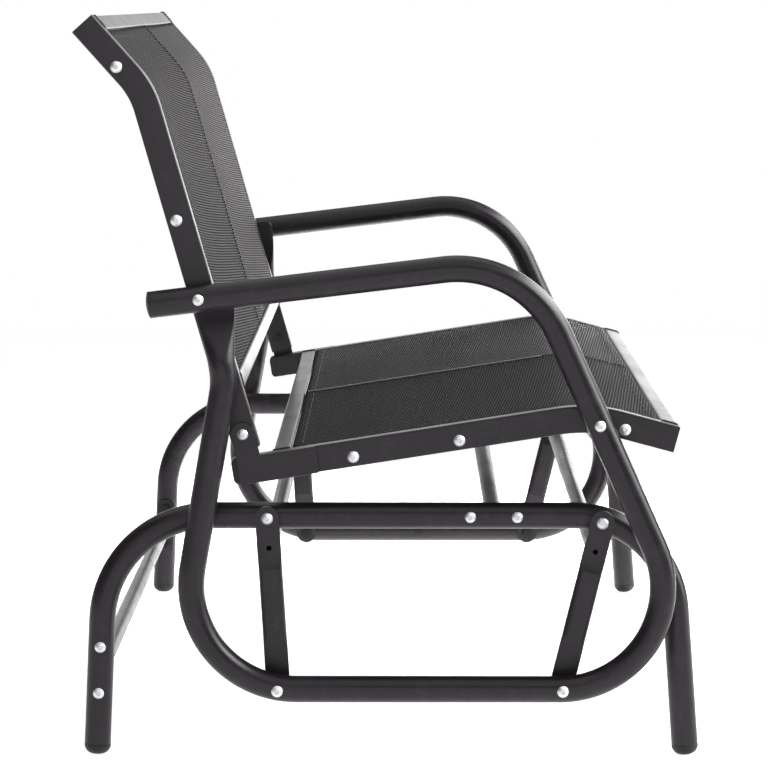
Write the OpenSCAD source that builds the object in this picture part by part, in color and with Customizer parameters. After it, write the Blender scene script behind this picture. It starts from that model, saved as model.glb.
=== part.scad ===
// Two-seat glider bench: a bent-tube base, four hanging links and a seat carried in two closed side frames.
// +X is the way a sitter faces, +Y is the sitter's left, +Z is up, and the floor is z = 0.
// Side-view points are [x, z], with x counted from the middle between the feet.

/* [Tubes] */
// Outside diameter of the bent round tubes of the base and side frames
tube_d = 30; // [26:0.5:34]
// Wall of the bent round tubes
tube_wall = 1.5; // [1:0.1:2.5]
// Depth of the seat and back rails, seen from the side
rail_h = 30; // [26:0.5:36]
// Width of the seat and back rails, across the bench
rail_w = 20; // [16:0.5:26]
// Wall of the rails and cross bars
rail_wall = 1.5; // [1:0.1:2]
// Outside corner radius of the rails and cross bars
rail_corner = 2.5; // [1.6:0.1:4]
// Side of the square cross bars and centre rails
bar_w = 20; // [16:0.5:24]
// Diameter of the round cross tubes between the base sides and between the links
cross_tube_d = 19; // [14:0.5:20]
// Wall of the round cross tubes
cross_tube_wall = 1.2; // [1:0.1:2]

/* [Base] */
// Height of the base rail's centre line above the floor
base_rail_z = 274.5; // [270:0.5:290]
// Distance between a front and a rear foot, at the floor
foot_spacing = 671.5; // [640:0.5:720]
// Lean of the rear legs, outward at the floor
rear_leg_lean = 2.6; // [0:0.1:5]
// Lean of the front legs, outward at the floor
front_leg_lean = 4.2; // [0:0.1:6]
// Bend radius between the base rail and the rear leg
base_rear_bend = 125; // [110:1:130]
// Bend radius between the base rail and the front leg
base_front_bend = 116; // [105:1:125]
// Place of the middle cross tube on the base rail, ahead of the middle
mid_cross_x = 116; // [60:1:130]
// Height of the rear cross tube between the rear legs
rear_cross_z = 98.5; // [70:1:120]
// Spacing of the two bolts that hold each end plate of a base cross tube
cross_bolt_pitch = 53; // [44:1:60]
// Thickness of those end plates
cross_plate_t = 3; // [2:0.5:5]
// Height of the plastic foot caps under the tube ends
foot_cap_h = 12; // [8:0.5:20]

/* [Glide linkage] */
// Distance between the two pivots of every hanging link
link_len = 191; // [185:0.5:200]
// Place of the rear top pivot, behind the middle
rear_pivot_x = 140; // [130:0.5:150]
// Drop of the rear top pivot below the base rail's centre line
rear_pivot_drop = 1; // [0:0.5:3]
// How far the rear link leans forward, from its top to its lower pivot
rear_link_lean = 12; // [8:0.5:16]
// Place of the front top pivot, ahead of the middle
front_pivot_x = 238.5; // [228:0.5:242]
// How far the front link leans back, from its top to its lower pivot
front_link_lean = 45.3; // [40:0.1:50]
// Width of a link, seen from the side
link_w = 27; // [24:0.5:30]
// How much wider than the link its round ends are
eye_spread = 1; // [0.6:0.1:2]
// Thickness of the pressed flat ends of a link
link_flat = 5; // [4:0.1:6]
// Thickness of the oval tube between a link's flat ends
link_body = 14; // [10:0.5:15]
// Distance from a pivot to the end of the flat part, along the link
link_flat_len = 44; // [44:0.5:52]
// Length over which the flat swells into the oval tube
link_swell = 14; // [8:0.5:20]
// Distance from a top pivot to the tie tube's hole
tie_drop = 33.5; // [32:0.5:34]
// Diameter of the hole in the link at the tie tube
tie_hole_d = 6; // [4:0.5:8]
// Running gap between the faces that turn on each other
running_gap = 0.3; // [0.2:0.05:0.5]
// Thickness of the spacers between the links and the side frames
lower_spacer_t = 6; // [5:0.5:8]
// Thickness of the saddle washers between the base rails and the links
saddle_washer_t = 1.5; // [1:0.1:3]
// Diameter of the nylon spacers and washers at the pivots
spacer_d = 22; // [18:0.5:25]
// Outside diameter of the nylon bushes in the link eyes
bush_d = 14; // [13:0.5:16]
// Outside diameter of the thin sleeve in the open front lower eye
open_sleeve_d = 9.8; // [9:0.1:10]
// Radial running clearance of the bushes on their bolts
bush_play = 0.05; // [0.02:0.01:0.09]

/* [Side frames] */
// Distance between the centre planes of the two side frames
frame_span = 1180; // [900:10:1400]
// Distance of the arm's rear end behind the middle
arm_rear = 270; // [255:1:290]
// Height of the arm's centre line over the middle of the base
arm_z = 550; // [530:1:570]
// Slope of the arm, rising to the front
arm_slope = 6.9; // [5:0.1:9]
// Bend radius from the arm into the front diagonal
arm_bend = 125; // [100:1:135]
// Lean of the front diagonal from the vertical
diagonal_lean = 24.2; // [21:0.1:26]
// Bend radius from the front diagonal into the bottom tube
front_low_bend = 115; // [100:1:120]
// Bend radius from the bottom tube into the rear upright
rear_low_bend = 118; // [100:1:125]
// Where the rear upright's centre line would meet the bottom tube's, behind the middle
upright_foot_x = 247; // [240:0.5:252]
// Lean of the rear upright, forward going up
upright_lean = 9.9; // [8:0.1:11]
// Height of the bend where the upright turns back
upright_kink_z = 430; // [420:1:436]
// Lean of the upright's upper end, back going up
upright_tip_lean = 7.5; // [5:0.5:9]
// Bend radius where the upright turns back
kink_bend = 90; // [70:1:110]
// Length over which the round upright is pressed flat
press_len = 42; // [36:1:46]
// Thickness of the pressed end and of the plates that lie between tube and rail
plate_t = 4; // [3:0.5:5]
// Corner radius of the pressed end
press_corner = 8; // [5:0.5:10]
// Gap left between a round tube and the flat or saddle it is bolted against
seat_gap = 0.2; // [0.1:0.05:0.3]

/* [Seat and back frames] */
// Place and height of the bolt that joins each side frame's diagonal to the seat rail
front_bolt = [233.2, 383.2];
// Place and height of the corner where the seat rail's two centre lines cross
seat_corner = [223.5, 389.9];
// Slope of the seat rail's main part, rising to the front
seat_slope = 8.9; // [6:0.1:11]
// Slope of the seat rail's front part, falling to the front
seat_front_drop = 15; // [10:0.5:18]
// Length of the seat rail's main part, to the corner
seat_main_len = 400; // [385:1:410]
// Length of the seat rail's front part, from the corner
seat_front_len = 100; // [90:1:115]
// Bend radius of the seat rail
seat_bend = 165; // [120:5:200]
// Place and height of the bolt that joins the back rail to the seat bracket
back_bolt = [-167, 370];
// Lean of the back rail's main part
back_lean = 16; // [14:0.1:18]
// Lean of the back rail's head part
back_head_lean = 41.8; // [32:0.1:46]
// Length of the back rail's main part, from the bracket bolt to the corner
back_main_len = 401; // [380:1:415]
// Length of the back rail's head part, from the corner
back_head_len = 98; // [80:1:120]
// Bend radius of the back rail
back_bend = 95; // [70:5:120]
// Length of the back rail below its bracket bolt
back_tail = 17; // [15:1:19]
// Distance from the seat rail's rear end to the rear bar
seat_rear_bar_at = 41; // [30:1:60]
// Distance from the back rail's lower end to the lower bar
back_lower_bar_at = 64; // [50:1:90]
// Thickness of the sling fabric with its coating
sling_t = 1.2; // [0.8:0.1:2]
// How far the slings lie below the top of the rails
sling_drop = 0.5; // [0.2:0.1:1]
// Gap between a sling's end and the bar it faces
sling_end_gap = 5; // [2:0.5:12]
// Thickness of the flat battens in the slings' hems
batten_t = 5; // [4:0.5:6]
// Height of those battens
batten_h = 22; // [20:0.5:24]
// Clearance of the hems and plugs round what they hold
fit_gap = 0.1; // [0.05:0.01:0.2]
// Distance of the sling screws below the rail's centre line
screw_drop = 4; // [2:0.5:6]
// Length of the seat bracket's plate along the seat rail
bracket_len = 90; // [70:1:100]
// Width of the bracket's ear
ear_w = 27; // [26:0.5:32]
// Length of the rounded plastic caps behind the seat rails
rail_cap_len = 7; // [4:0.5:12]
// Thickness of the flat plugs in the other rail ends
rail_plug_t = 1.2; // [1.1:0.1:4]
// Depth that the plugs and caps reach into their tubes
plug_depth = 14; // [8:1:20]

/* [Fasteners] */
// Diameter of the pivot bolts
pivot_bolt_d = 8; // [7:0.5:8]
// Head diameter of the pivot bolts
pivot_head_d = 13; // [12:0.5:15]
// Diameter of the frame bolts
frame_bolt_d = 6; // [5:0.5:7]
// Head diameter of the frame bolts and sling screws
frame_head_d = 12.4; // [10:0.2:14]
// Height of the domed heads
head_h = 3.4; // [2.5:0.1:3.6]
// Diameter of the sling screws
screw_d = 4.5; // [3.5:0.5:5]
// Diameter of their heads
screw_head_d = 13.2; // [9:0.2:14]
// Places of the seat's sling screws, from the rail's rear end
seat_screw_at = [130, 251];
// Place of the third one, from the rail's front end
front_screw_at = 58; // [50:1:70]
// Places of the back's sling screws, from the rail's lower end
back_screw_at = [92, 268];
// Place of the third one, from the rail's top end
head_screw_at = 60; // [50:1:70]
// How far the arm bolt sits behind the middle of the back rail
arm_bolt_back = 3; // [0:0.5:5]
// Clearance round a bolt in a plain hole
hole_play = 0.15; // [0.1:0.05:0.3]

/* [Hidden] */
$fn = 64;
BLACK = "#3b393c";
PLASTIC = "#1d1c1e";
ZINC = "#d6d6d8";
FABRIC = "#3a3a3d";
NYLON = "#e8e6e0";

tube_r = tube_d / 2;
cross_tube_r = cross_tube_d / 2;

// Distances of each layer from the bench's middle plane, from the outside inward
frame_y = frame_span / 2;
plate_y = frame_y - tube_r - seat_gap;
rail_outer_y = plate_y - plate_t;
rail_y = rail_outer_y - rail_w / 2;
rail_inner_y = rail_outer_y - rail_w;
link_y = frame_y - tube_r - lower_spacer_t - link_flat / 2;
base_y = link_y - link_flat / 2 - saddle_washer_t - tube_r;

// Plane geometry of the side view
function along(p, angle, d) = [p.x + d * cos(angle), p.y + d * sin(angle)];
function heading(p, q) = atan2(q.y - p.y, q.x - p.x);
function fold(a) = a > 180 ? a - 360 : (a < -180 ? a + 360 : a);
function cross_of(p, a, q, b) =
    along(p, a, ((q.x - p.x) * sin(b) - (q.y - p.y) * cos(b)) / sin(b - a));
function shortened(path, first, last) =
    let (n = len(path))
    [for (i = [0:n - 1])
        i == 0 ? along(path[0], heading(path[0], path[1]), first)
        : i == n - 1 ? along(path[i], heading(path[i], path[i - 1]), last)
        : path[i]];

// Pivots
rear_top = [-rear_pivot_x, base_rail_z - rear_pivot_drop];
lower_z = rear_top.y - sqrt(pow(link_len, 2) - pow(rear_link_lean, 2));
rear_low = [rear_top.x + rear_link_lean, lower_z];
front_low = [front_pivot_x - front_link_lean, lower_z];
front_top = [front_pivot_x, lower_z + sqrt(pow(link_len, 2) - pow(front_link_lean, 2))];

// Paths of the centre lines
rear_foot = [-foot_spacing / 2, 0];
front_foot = [foot_spacing / 2, 0];
base_rear_corner = [rear_foot.x + base_rail_z * tan(rear_leg_lean), base_rail_z];
base_front_corner = [front_foot.x - base_rail_z * tan(front_leg_lean), base_rail_z];
base_path = [rear_foot, base_rear_corner, base_front_corner, front_foot];
base_bends = [base_rear_bend, base_front_bend];

arm_end = [-arm_rear, arm_z - arm_rear * tan(arm_slope)];
diagonal_angle = -90 + diagonal_lean;
arm_corner = cross_of(arm_end, arm_slope, front_bolt, diagonal_angle);
front_low_corner = cross_of(front_bolt, diagonal_angle, [0, lower_z], 0);
upright_foot = [-upright_foot_x, lower_z];
upright_angle = 90 - upright_lean;
upright_tip_angle = 90 + upright_tip_lean;
kink = cross_of(upright_foot, upright_angle, [0, upright_kink_z], 0);
kink_trim = kink_bend * tan((upright_tip_angle - upright_angle) / 2);
neck = along(kink, upright_tip_angle, kink_trim + 1);
frame_path = [arm_end, arm_corner, front_low_corner, upright_foot, kink, neck];
frame_bends = [arm_bend, front_low_bend, rear_low_bend, kink_bend];

seat_start = along(seat_corner, 180 + seat_slope, seat_main_len);
seat_end = along(seat_corner, -seat_front_drop, seat_front_len);
seat_path = [seat_start, seat_corner, seat_end];

back_angle = 90 + back_lean;
back_corner = along(back_bolt, back_angle, back_main_len);
back_top = along(back_corner, 90 + back_head_lean, back_head_len);
back_bottom = along(back_bolt, back_angle, -back_tail);
back_path = [back_top, back_corner, back_bottom];

arm_bolt = along(cross_of(arm_end, arm_slope, back_bolt, back_angle), arm_slope, -arm_bolt_back);

// Slings: the sheet's top lies sling_drop below the rail's top, with a hem round each batten
sling_top = rail_h / 2 - sling_drop;
hem_outer = rail_inner_y - running_gap;
hem_w = batten_t + 2 * fit_gap + 2 * sling_t;
hem_h = batten_h + 2 * fit_gap + 2 * sling_t;
batten_y = hem_outer - sling_t - fit_gap - batten_t / 2;
batten_mid = sling_top - hem_h / 2;
bar_mid = rail_h / 2 - bar_w / 2;
centre_rail_mid = sling_top - sling_t - seat_gap - bar_w / 2;

// Flattened width of the round tube
press_w = PI / 2 * (tube_d - tube_wall);

// Overlap of the pieces that are bent, welded or pressed into one
lap = 0.5;
$slim = 0;

// The bench is centred on its overall depth, from the top plugs' rear corners to the front feet
plug_round = 1;
cap_reach = tube_r + 0.5;
back_reach = back_top.x - (rail_plug_t - plug_round) * sin(back_head_lean)
    - (rail_h / 2 - plug_round) * cos(back_head_lean) - plug_round;
shift_x = -(back_reach + front_foot.x + cap_reach) / 2;

// Sling screws: places along the straight parts of the rails
seat_screws = [
    along(seat_start, seat_slope, seat_screw_at[0]),
    along(seat_start, seat_slope, seat_screw_at[1]),
    along(seat_end, 180 - seat_front_drop, front_screw_at)
];
back_screws = [
    along(back_top, back_head_lean - 90, head_screw_at),
    along(back_bottom, back_angle, back_screw_at[1]),
    along(back_bottom, back_angle, back_screw_at[0])
];

// Puts the drawing plane at a distance to the sitter's right; what is drawn upward there points right
module on_right(y) {
    translate([shift_x, -y, 0]) rotate([90, 0, 0]) children();
}
module on_left(y) {
    mirror([0, 1, 0]) on_right(y) children();
}
module on_side(side, y) {
    if (side == "right") on_right(y) children();
    else on_left(y) children();
}
module both_sides(y) {
    on_right(y) children();
    on_left(y) children();
}

// A straight run of a section from p to q
module run(p, q) {
    translate([p.x, p.y, 0]) rotate([0, 0, heading(p, q)]) rotate([90, 0, 90])
        linear_extrude(norm(q - p)) children();
}

// A round bend of a section, starting at p with a heading, turning by an angle
module bend(p, angle, turn, radius) {
    centre = along(p, angle + (turn > 0 ? 90 : -90), radius);
    start = turn > 0 ? angle - 90 : angle + 90 + turn;
    translate([centre.x, centre.y, 0]) rotate([0, 0, start]) rotate_extrude(angle = abs(turn), $fn = 180)
        translate([radius, 0]) mirror([turn > 0 ? 1 : 0, 0]) children();
}

// Walks a section along straight runs joined by round bends. The section's x points left of the way.
// Each run laps a little into its bends, where the section is a hair slimmer, as a drawn bend is.
module sweep(path, radii) {
    n = len(path);
    turns = [for (i = [1:n - 2]) fold(heading(path[i], path[i + 1]) - heading(path[i - 1], path[i]))];
    trims = concat([0], [for (i = [0:n - 3]) radii[i] * tan(abs(turns[i]) / 2)], [0]);
    for (i = [0:n - 2]) {
        a = heading(path[i], path[i + 1]);
        run(along(path[i], a, i > 0 ? trims[i] - lap : 0),
            along(path[i + 1], a, i < n - 2 ? lap - trims[i + 1] : 0)) children();
        if (i < n - 2) bend(along(path[i + 1], a, -trims[i + 1]), a, turns[i], radii[i], $slim = 0.02)
            children();
    }
}

// A round tube draws down more in its bends than a flat-sided one
draw_down = 10;

module rounded_rect(w, h, r) {
    square([w - 2 * r, h], center = true);
    square([w, h - 2 * r], center = true);
    for (x = [-1, 1]) for (y = [-1, 1])
        translate([x * (w / 2 - r), y * (h / 2 - r)]) circle(r);
}
module saddle_cut() {
    circle(tube_r + seat_gap - draw_down * $slim);
}
module tube_section() {
    difference() {
        circle(tube_r - draw_down * $slim);
        circle(tube_r - tube_wall + draw_down * $slim);
    }
}
module box_section(h, w) {
    inner = 2 * (rail_wall - $slim);
    difference() {
        rounded_rect(h - 2 * $slim, w - 2 * $slim, rail_corner);
        rounded_rect(h - inner, w - inner, rail_corner - rail_wall);
    }
}

// A hole across the drawing plane at a point
module drill(p, d, half = 40) {
    translate([p.x, p.y, -half]) cylinder(d = d, h = 2 * half);
}

// A domed head with a hexagon socket, its seat at z = 0
module head(d) {
    dome = (pow(d / 2, 2) + pow(head_h, 2)) / (2 * head_h);
    difference() {
        intersection() {
            translate([0, 0, head_h - dome]) sphere(dome);
            cylinder(d = d, h = head_h);
        }
        translate([0, 0, head_h - 1.8]) cylinder(d = d * 0.4, h = 2, $fn = 6);
    }
}

// A bolt whose head's seat is at z = 0 and whose shank reaches back by a length
module bolt(d, head_d, length) {
    head(head_d);
    translate([0, 0, -length]) cylinder(d = d, h = length);
}
module lock_nut(d) {
    difference() {
        union() {
            cylinder(d = d * 1.85, h = d * 0.75, $fn = 6);
            cylinder(d = d * 1.5, h = d * 0.95);
        }
        translate([0, 0, -1]) cylinder(d = d + 2 * fit_gap, h = d + 2);
    }
}

// The base: one bent tube on each side
rear_leg_angle = 90 - rear_leg_lean;
rear_cross = along(rear_foot, rear_leg_angle, rear_cross_z / cos(rear_leg_lean));
base_holes = concat(
    [for (s = [-1, 1]) [mid_cross_x + s * cross_bolt_pitch / 2, base_rail_z]],
    [for (s = [-1, 1]) along(rear_cross, rear_leg_angle, s * cross_bolt_pitch / 2)]
);

module base_side(side) {
    color(BLACK) on_side(side, base_y) difference() {
        sweep(shortened(base_path, foot_cap_h, foot_cap_h), base_bends) tube_section();
        for (p = base_holes) drill(p, frame_bolt_d + 2 * hole_play);
        for (p = [rear_top, front_top]) drill(p, pivot_bolt_d + 2 * hole_play);
    }
}

// A base cross tube with an end plate bolted inside each base side
module cross_tube(p, angle) {
    reach = base_y - tube_r - seat_gap;
    plate_len = cross_bolt_pitch + 22;
    color(BLACK) {
        translate([shift_x + p.x, reach - cross_plate_t, p.y]) rotate([90, 0, 0]) difference() {
            cylinder(r = cross_tube_r, h = 2 * (reach - cross_plate_t));
            translate([0, 0, -1])
                cylinder(r = cross_tube_r - cross_tube_wall, h = 2 * (reach - cross_plate_t) + 2);
        }
        both_sides(reach - cross_plate_t) translate([p.x, p.y, 0]) rotate([0, 0, angle])
            linear_extrude(cross_plate_t) difference() {
                rounded_rect(plate_len, tube_d * 0.8, 6);
                for (s = [-1, 1]) translate([s * cross_bolt_pitch / 2, 0])
                    circle(d = frame_bolt_d + 2 * hole_play);
            }
    }
}

module foot_cap(side, foot, lean) {
    round_r = 8;
    color(PLASTIC) on_side(side, base_y) intersection() {
        translate([foot.x, foot.y, 0]) rotate([-90, 0, lean]) rotate_extrude() {
            difference() {
                union() {
                    translate([0, 3]) square([cap_reach, foot_cap_h - 3]);
                    translate([0, -5]) square([cap_reach - round_r, 10]);
                    translate([cap_reach - round_r, 3]) circle(round_r);
                }
                translate([-30, -20]) square([30, 60]);
            }
            translate([0, foot_cap_h - 1]) square([tube_r - tube_wall - fit_gap, plug_depth + 1]);
        }
        translate([foot.x - 40, 0, -40]) cube([80, 80, 80]);
    }
}

// Where the domed heads and nuts of the base sit
base_outside = base_y + tube_r + seat_gap;
base_inside = base_y - tube_r - seat_gap;
module base_cross_bolts() {
    grip = base_outside - base_inside + cross_plate_t + 6;
    color(ZINC) both_sides(base_outside) for (p = base_holes) translate([p.x, p.y, 0])
        bolt(frame_bolt_d, frame_head_d, grip);
}
module base_cross_nuts() {
    color(ZINC) both_sides(base_inside - cross_plate_t) for (p = base_holes)
        translate([p.x, p.y, 0]) mirror([0, 0, 1]) lock_nut(frame_bolt_d);
}

// Top pivots: bolt head, link, saddle washer, base tube and lock nut
top_head_y = link_y + link_flat / 2 + running_gap;
module top_pivot_bolts() {
    color(ZINC) both_sides(top_head_y) for (p = [rear_top, front_top]) translate([p.x, p.y, 0])
        bolt(pivot_bolt_d, pivot_head_d, top_head_y - base_inside + pivot_bolt_d);
}
module top_pivot_nuts() {
    color(ZINC) both_sides(base_inside) for (p = [rear_top, front_top])
        translate([p.x, p.y, 0]) mirror([0, 0, 1]) lock_nut(pivot_bolt_d);
}
module top_pivot_washers() {
    outer = link_y - link_flat / 2 - running_gap;
    color(NYLON) both_sides(base_y) difference() {
        for (p = [rear_top, front_top]) translate([p.x, p.y, 0]) cylinder(d = spacer_d, h = outer - base_y);
        sweep([base_rear_corner, base_front_corner, front_foot], [base_front_bend]) saddle_cut();
        for (p = [rear_top, front_top]) drill(p, pivot_bolt_d + 2 * hole_play);
    }
}

// A hanging link between two pivots: pressed flat at both ends, oval between
module link_oval(inset) {
    square([link_w - link_body, link_body - 2 * inset], center = true);
    for (s = [-1, 1]) translate([s * (link_w - link_body) / 2, 0]) circle(link_body / 2 - inset);
}
module link_slab(p, q, inset) {
    run(p, q) square([link_w - 2 * inset, link_flat - 2 * inset], center = true);
}
module hanging_link(side, top, low) {
    a = heading(top, low);
    flat_end = [along(top, a, link_flat_len), along(low, a, -link_flat_len)];
    oval_end = [along(top, a, link_flat_len + link_swell), along(low, a, -link_flat_len - link_swell)];
    color(BLACK) on_side(side, link_y) difference() {
        union() {
            for (p = [top, low]) translate([p.x, p.y, -link_flat / 2])
                cylinder(d = link_w + eye_spread, h = link_flat);
            link_slab(top, along(flat_end[0], a, lap), 0);
            link_slab(along(flat_end[1], a, -lap), low, 0);
            for (i = [0, 1]) hull() {
                b = heading(flat_end[i], oval_end[i]);
                link_slab(flat_end[i], along(flat_end[i], b, 0.2), 0.03);
                run(along(oval_end[i], b, -0.2), oval_end[i]) link_oval(0.03, $fn = 32);
            }
            run(along(oval_end[0], a, -lap), along(oval_end[1], a, lap)) link_oval(0);
        }
        run(along(oval_end[0], a, 4), along(oval_end[1], a, -4)) link_oval(tube_wall);
        for (p = [top, low]) drill(p, bush_d + 2 * bush_play);
        drill(along(top, a, tie_drop), tie_hole_d);
    }
}

// The tie tube that joins a pair of links just below their top pivots
module tie_tube(top, low) {
    p = along(top, heading(top, low), tie_drop);
    half = link_y - link_flat / 2;
    color(BLACK) translate([shift_x + p.x, half, p.y]) rotate([90, 0, 0]) difference() {
        cylinder(r = cross_tube_r, h = 2 * half);
        translate([0, 0, -1]) cylinder(r = cross_tube_r - cross_tube_wall, h = 2 * half + 2);
    }
}
module bushes(points) {
    color(NYLON) both_sides(link_y) for (p = points) difference() {
        translate([p.x, p.y, -link_flat / 2]) cylinder(d = bush_d, h = link_flat);
        drill(p, pivot_bolt_d + 2 * bush_play);
    }
}

// Lower pivots: bolt head outside the side frame, spacer, link and lock nut
lower_head_y = frame_y + tube_r + seat_gap;
lower_nut_y = link_y - link_flat / 2 - running_gap;
module lower_pivot_bolts() {
    color(ZINC) both_sides(lower_head_y) for (p = [rear_low, front_low]) translate([p.x, p.y, 0])
        bolt(pivot_bolt_d, pivot_head_d, lower_head_y - lower_nut_y + pivot_bolt_d);
}
module lower_pivot_nuts() {
    color(ZINC) both_sides(lower_nut_y) for (p = [rear_low, front_low])
        translate([p.x, p.y, 0]) mirror([0, 0, 1]) lock_nut(pivot_bolt_d);
}
module lower_pivot_spacers() {
    inner = link_y + link_flat / 2 + running_gap;
    color(NYLON) both_sides(inner) difference() {
        for (p = [rear_low, front_low]) translate([p.x, p.y, 0]) cylinder(d = spacer_d, h = frame_y - inner);
        translate([0, 0, frame_y - inner])
            sweep([front_bolt, front_low_corner, upright_foot, kink], [front_low_bend, rear_low_bend])
                saddle_cut();
        for (p = [rear_low, front_low]) drill(p, pivot_bolt_d + 2 * hole_play);
    }
}
module front_lower_sleeves() {
    color(NYLON) both_sides(link_y - link_flat / 2) difference() {
        translate([front_low.x, front_low.y, 0]) cylinder(d = open_sleeve_d, h = link_flat);
        drill(front_low, pivot_bolt_d + 2 * bush_play);
    }
}

// A side frame: arm, front diagonal, bottom tube and rear upright are one bent tube.
// The upright's end is pressed flat and lies between the arm and the back rail.
flat_mid = plate_y - plate_t / 2 - frame_y;
press_end = along(neck, upright_tip_angle, press_len);
press_half = tube_r + (press_w / 2 - tube_r) * 0.8;
press_top = (arm_bolt.y + tube_r * 0.75 - neck.y) / cos(upright_tip_lean);
module pressed_outline() {
    flare = 18;
    polygon([
        [press_len - lap, -press_half], [press_len + flare, -press_w / 2],
        [press_top - press_corner, -press_w / 2], [press_top, -press_w / 2 + press_corner],
        [press_top, press_w / 2 - press_corner], [press_top - press_corner, press_w / 2],
        [press_len + flare, press_w / 2], [press_len - lap, press_half]
    ]);
    for (s = [-1, 1]) translate([press_top - press_corner, s * (press_w / 2 - press_corner)])
        circle(press_corner);
}
module side_frame(side) {
    color(BLACK) on_side(side, frame_y) difference() {
        union() {
            sweep(frame_path, frame_bends) tube_section();
            hull() {
                run(along(neck, upright_tip_angle, -lap), neck) circle(tube_r - 0.3, $fn = 48);
                run(along(press_end, upright_tip_angle, -0.2), press_end)
                    translate([0, flat_mid]) square([2 * press_half, plate_t - 0.06], center = true);
            }
            translate([neck.x, neck.y, flat_mid - plate_t / 2]) rotate([0, 0, upright_tip_angle])
                linear_extrude(plate_t) pressed_outline();
        }
        for (p = [arm_bolt, front_bolt]) drill(p, frame_bolt_d + 2 * hole_play);
        for (p = [rear_low, front_low]) drill(p, pivot_bolt_d + 2 * hole_play);
    }
}
module arm_cap(side) {
    bulge = 3;
    ball = (pow(tube_r, 2) + pow(bulge, 2)) / (2 * bulge);
    color(PLASTIC) on_side(side, frame_y) translate([arm_end.x, arm_end.y, 0])
        rotate([0, 0, arm_slope]) rotate([0, -90, 0]) {
            intersection() {
                translate([0, 0, bulge - ball]) sphere(ball, $fn = 96);
                cylinder(r = tube_r, h = bulge);
            }
            translate([0, 0, -plug_depth]) cylinder(r = tube_r - tube_wall - fit_gap, h = plug_depth);
        }
}

// Rails of the seat and back, with a bend each
module rail(side, path, radius, through, outer_only, screws) {
    color(BLACK) on_side(side, rail_y) difference() {
        sweep(path, [radius]) box_section(rail_h, rail_w);
        for (p = through) drill(p, frame_bolt_d + 2 * hole_play);
        for (p = outer_only) translate([p.x, p.y, 0]) cylinder(d = frame_bolt_d + 2 * hole_play, h = rail_w);
        for (p = screws) drill(p, screw_d + 2 * hole_play);
    }
}
function dropped(points, angles) =
    [for (i = [0:len(points) - 1]) along(points[i], angles[i] - 90, screw_drop)];
seat_screw_points = dropped(seat_screws, [seat_slope, seat_slope, -seat_front_drop]);
back_screw_points = dropped(back_screws, [back_head_lean - 90, back_lean - 90, back_lean - 90]);

// A plug for the end of a rail at p, whose inside lies along an angle
module rail_plug(p, angle, cap_len, round_r) {
    translate([p.x, p.y, 0]) rotate([0, 0, angle]) rotate([90, 0, 90]) {
        translate([0, 0, -0.01]) linear_extrude(plug_depth)
            rounded_rect(rail_h - 2 * rail_wall - 2 * fit_gap, rail_w - 2 * rail_wall - 2 * fit_gap,
                rail_corner - rail_wall);
    }
    translate([p.x, p.y, 0]) rotate([0, 0, angle]) intersection() {
        translate([-cap_len, -rail_h / 2, -rail_w / 2]) cube([cap_len, rail_h, rail_w]);
        linear_extrude(rail_w + 2, center = true) union() {
            translate([-cap_len + round_r, -rail_h / 2]) square([cap_len, rail_h]);
            translate([-cap_len, -rail_h / 2 + round_r]) square([cap_len, rail_h - 2 * round_r]);
            for (s = [-1, 1]) translate([-cap_len + round_r, s * (rail_h / 2 - round_r)]) circle(round_r);
        }
        rotate([90, 0, 90]) linear_extrude(4 * cap_len, center = true)
            rounded_rect(rail_h, rail_w, rail_corner);
    }
}
module rail_end_plugs() {
    color(PLASTIC) both_sides(rail_y) {
        rail_plug(seat_end, 180 - seat_front_drop, rail_plug_t, plug_round);
        rail_plug(back_top, back_head_lean - 90, rail_plug_t, plug_round);
        rail_plug(back_bottom, back_angle, rail_plug_t, plug_round);
    }
}

// The bracket welded on the seat rail's outer face, with the ear that carries the back rail
module seat_bracket(side) {
    foot_mid = along(seat_start, seat_slope, ear_w / 2 + 1);
    ear_angle = heading(foot_mid, back_bolt);
    ear_len = norm(back_bolt - foot_mid);
    color(BLACK) on_side(side, rail_outer_y) linear_extrude(plate_t) difference() {
        union() {
            translate([seat_start.x, seat_start.y]) rotate(seat_slope)
                translate([bracket_len / 2, 0]) rounded_rect(bracket_len, rail_h, rail_corner);
            translate(foot_mid) rotate(ear_angle) translate([0, -ear_w / 2]) square([ear_len, ear_w]);
            translate(back_bolt) circle(ear_w / 2);
        }
        translate(back_bolt) circle(d = frame_bolt_d + 2 * hole_play);
    }
}

// Cross bars between the rails, square to the rail's way at p
module cross_bar(p, angle) {
    color(BLACK) translate([shift_x, rail_inner_y, 0]) rotate([90, 0, 0])
        translate([p.x, p.y, 0]) rotate([0, 0, angle]) translate([0, bar_mid, 0])
            linear_extrude(2 * rail_inner_y) box_section(bar_w, bar_w);
}
module centre_rail(path, radius) {
    color(BLACK) on_right(0) sweep(path, [radius]) translate([centre_rail_mid, 0]) box_section(bar_w, bar_w);
}
seat_centre_path = shortened(seat_path, seat_rear_bar_at + bar_w, bar_w);
back_centre_path = shortened(back_path, bar_w, back_lower_bar_at + bar_w);

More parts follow.
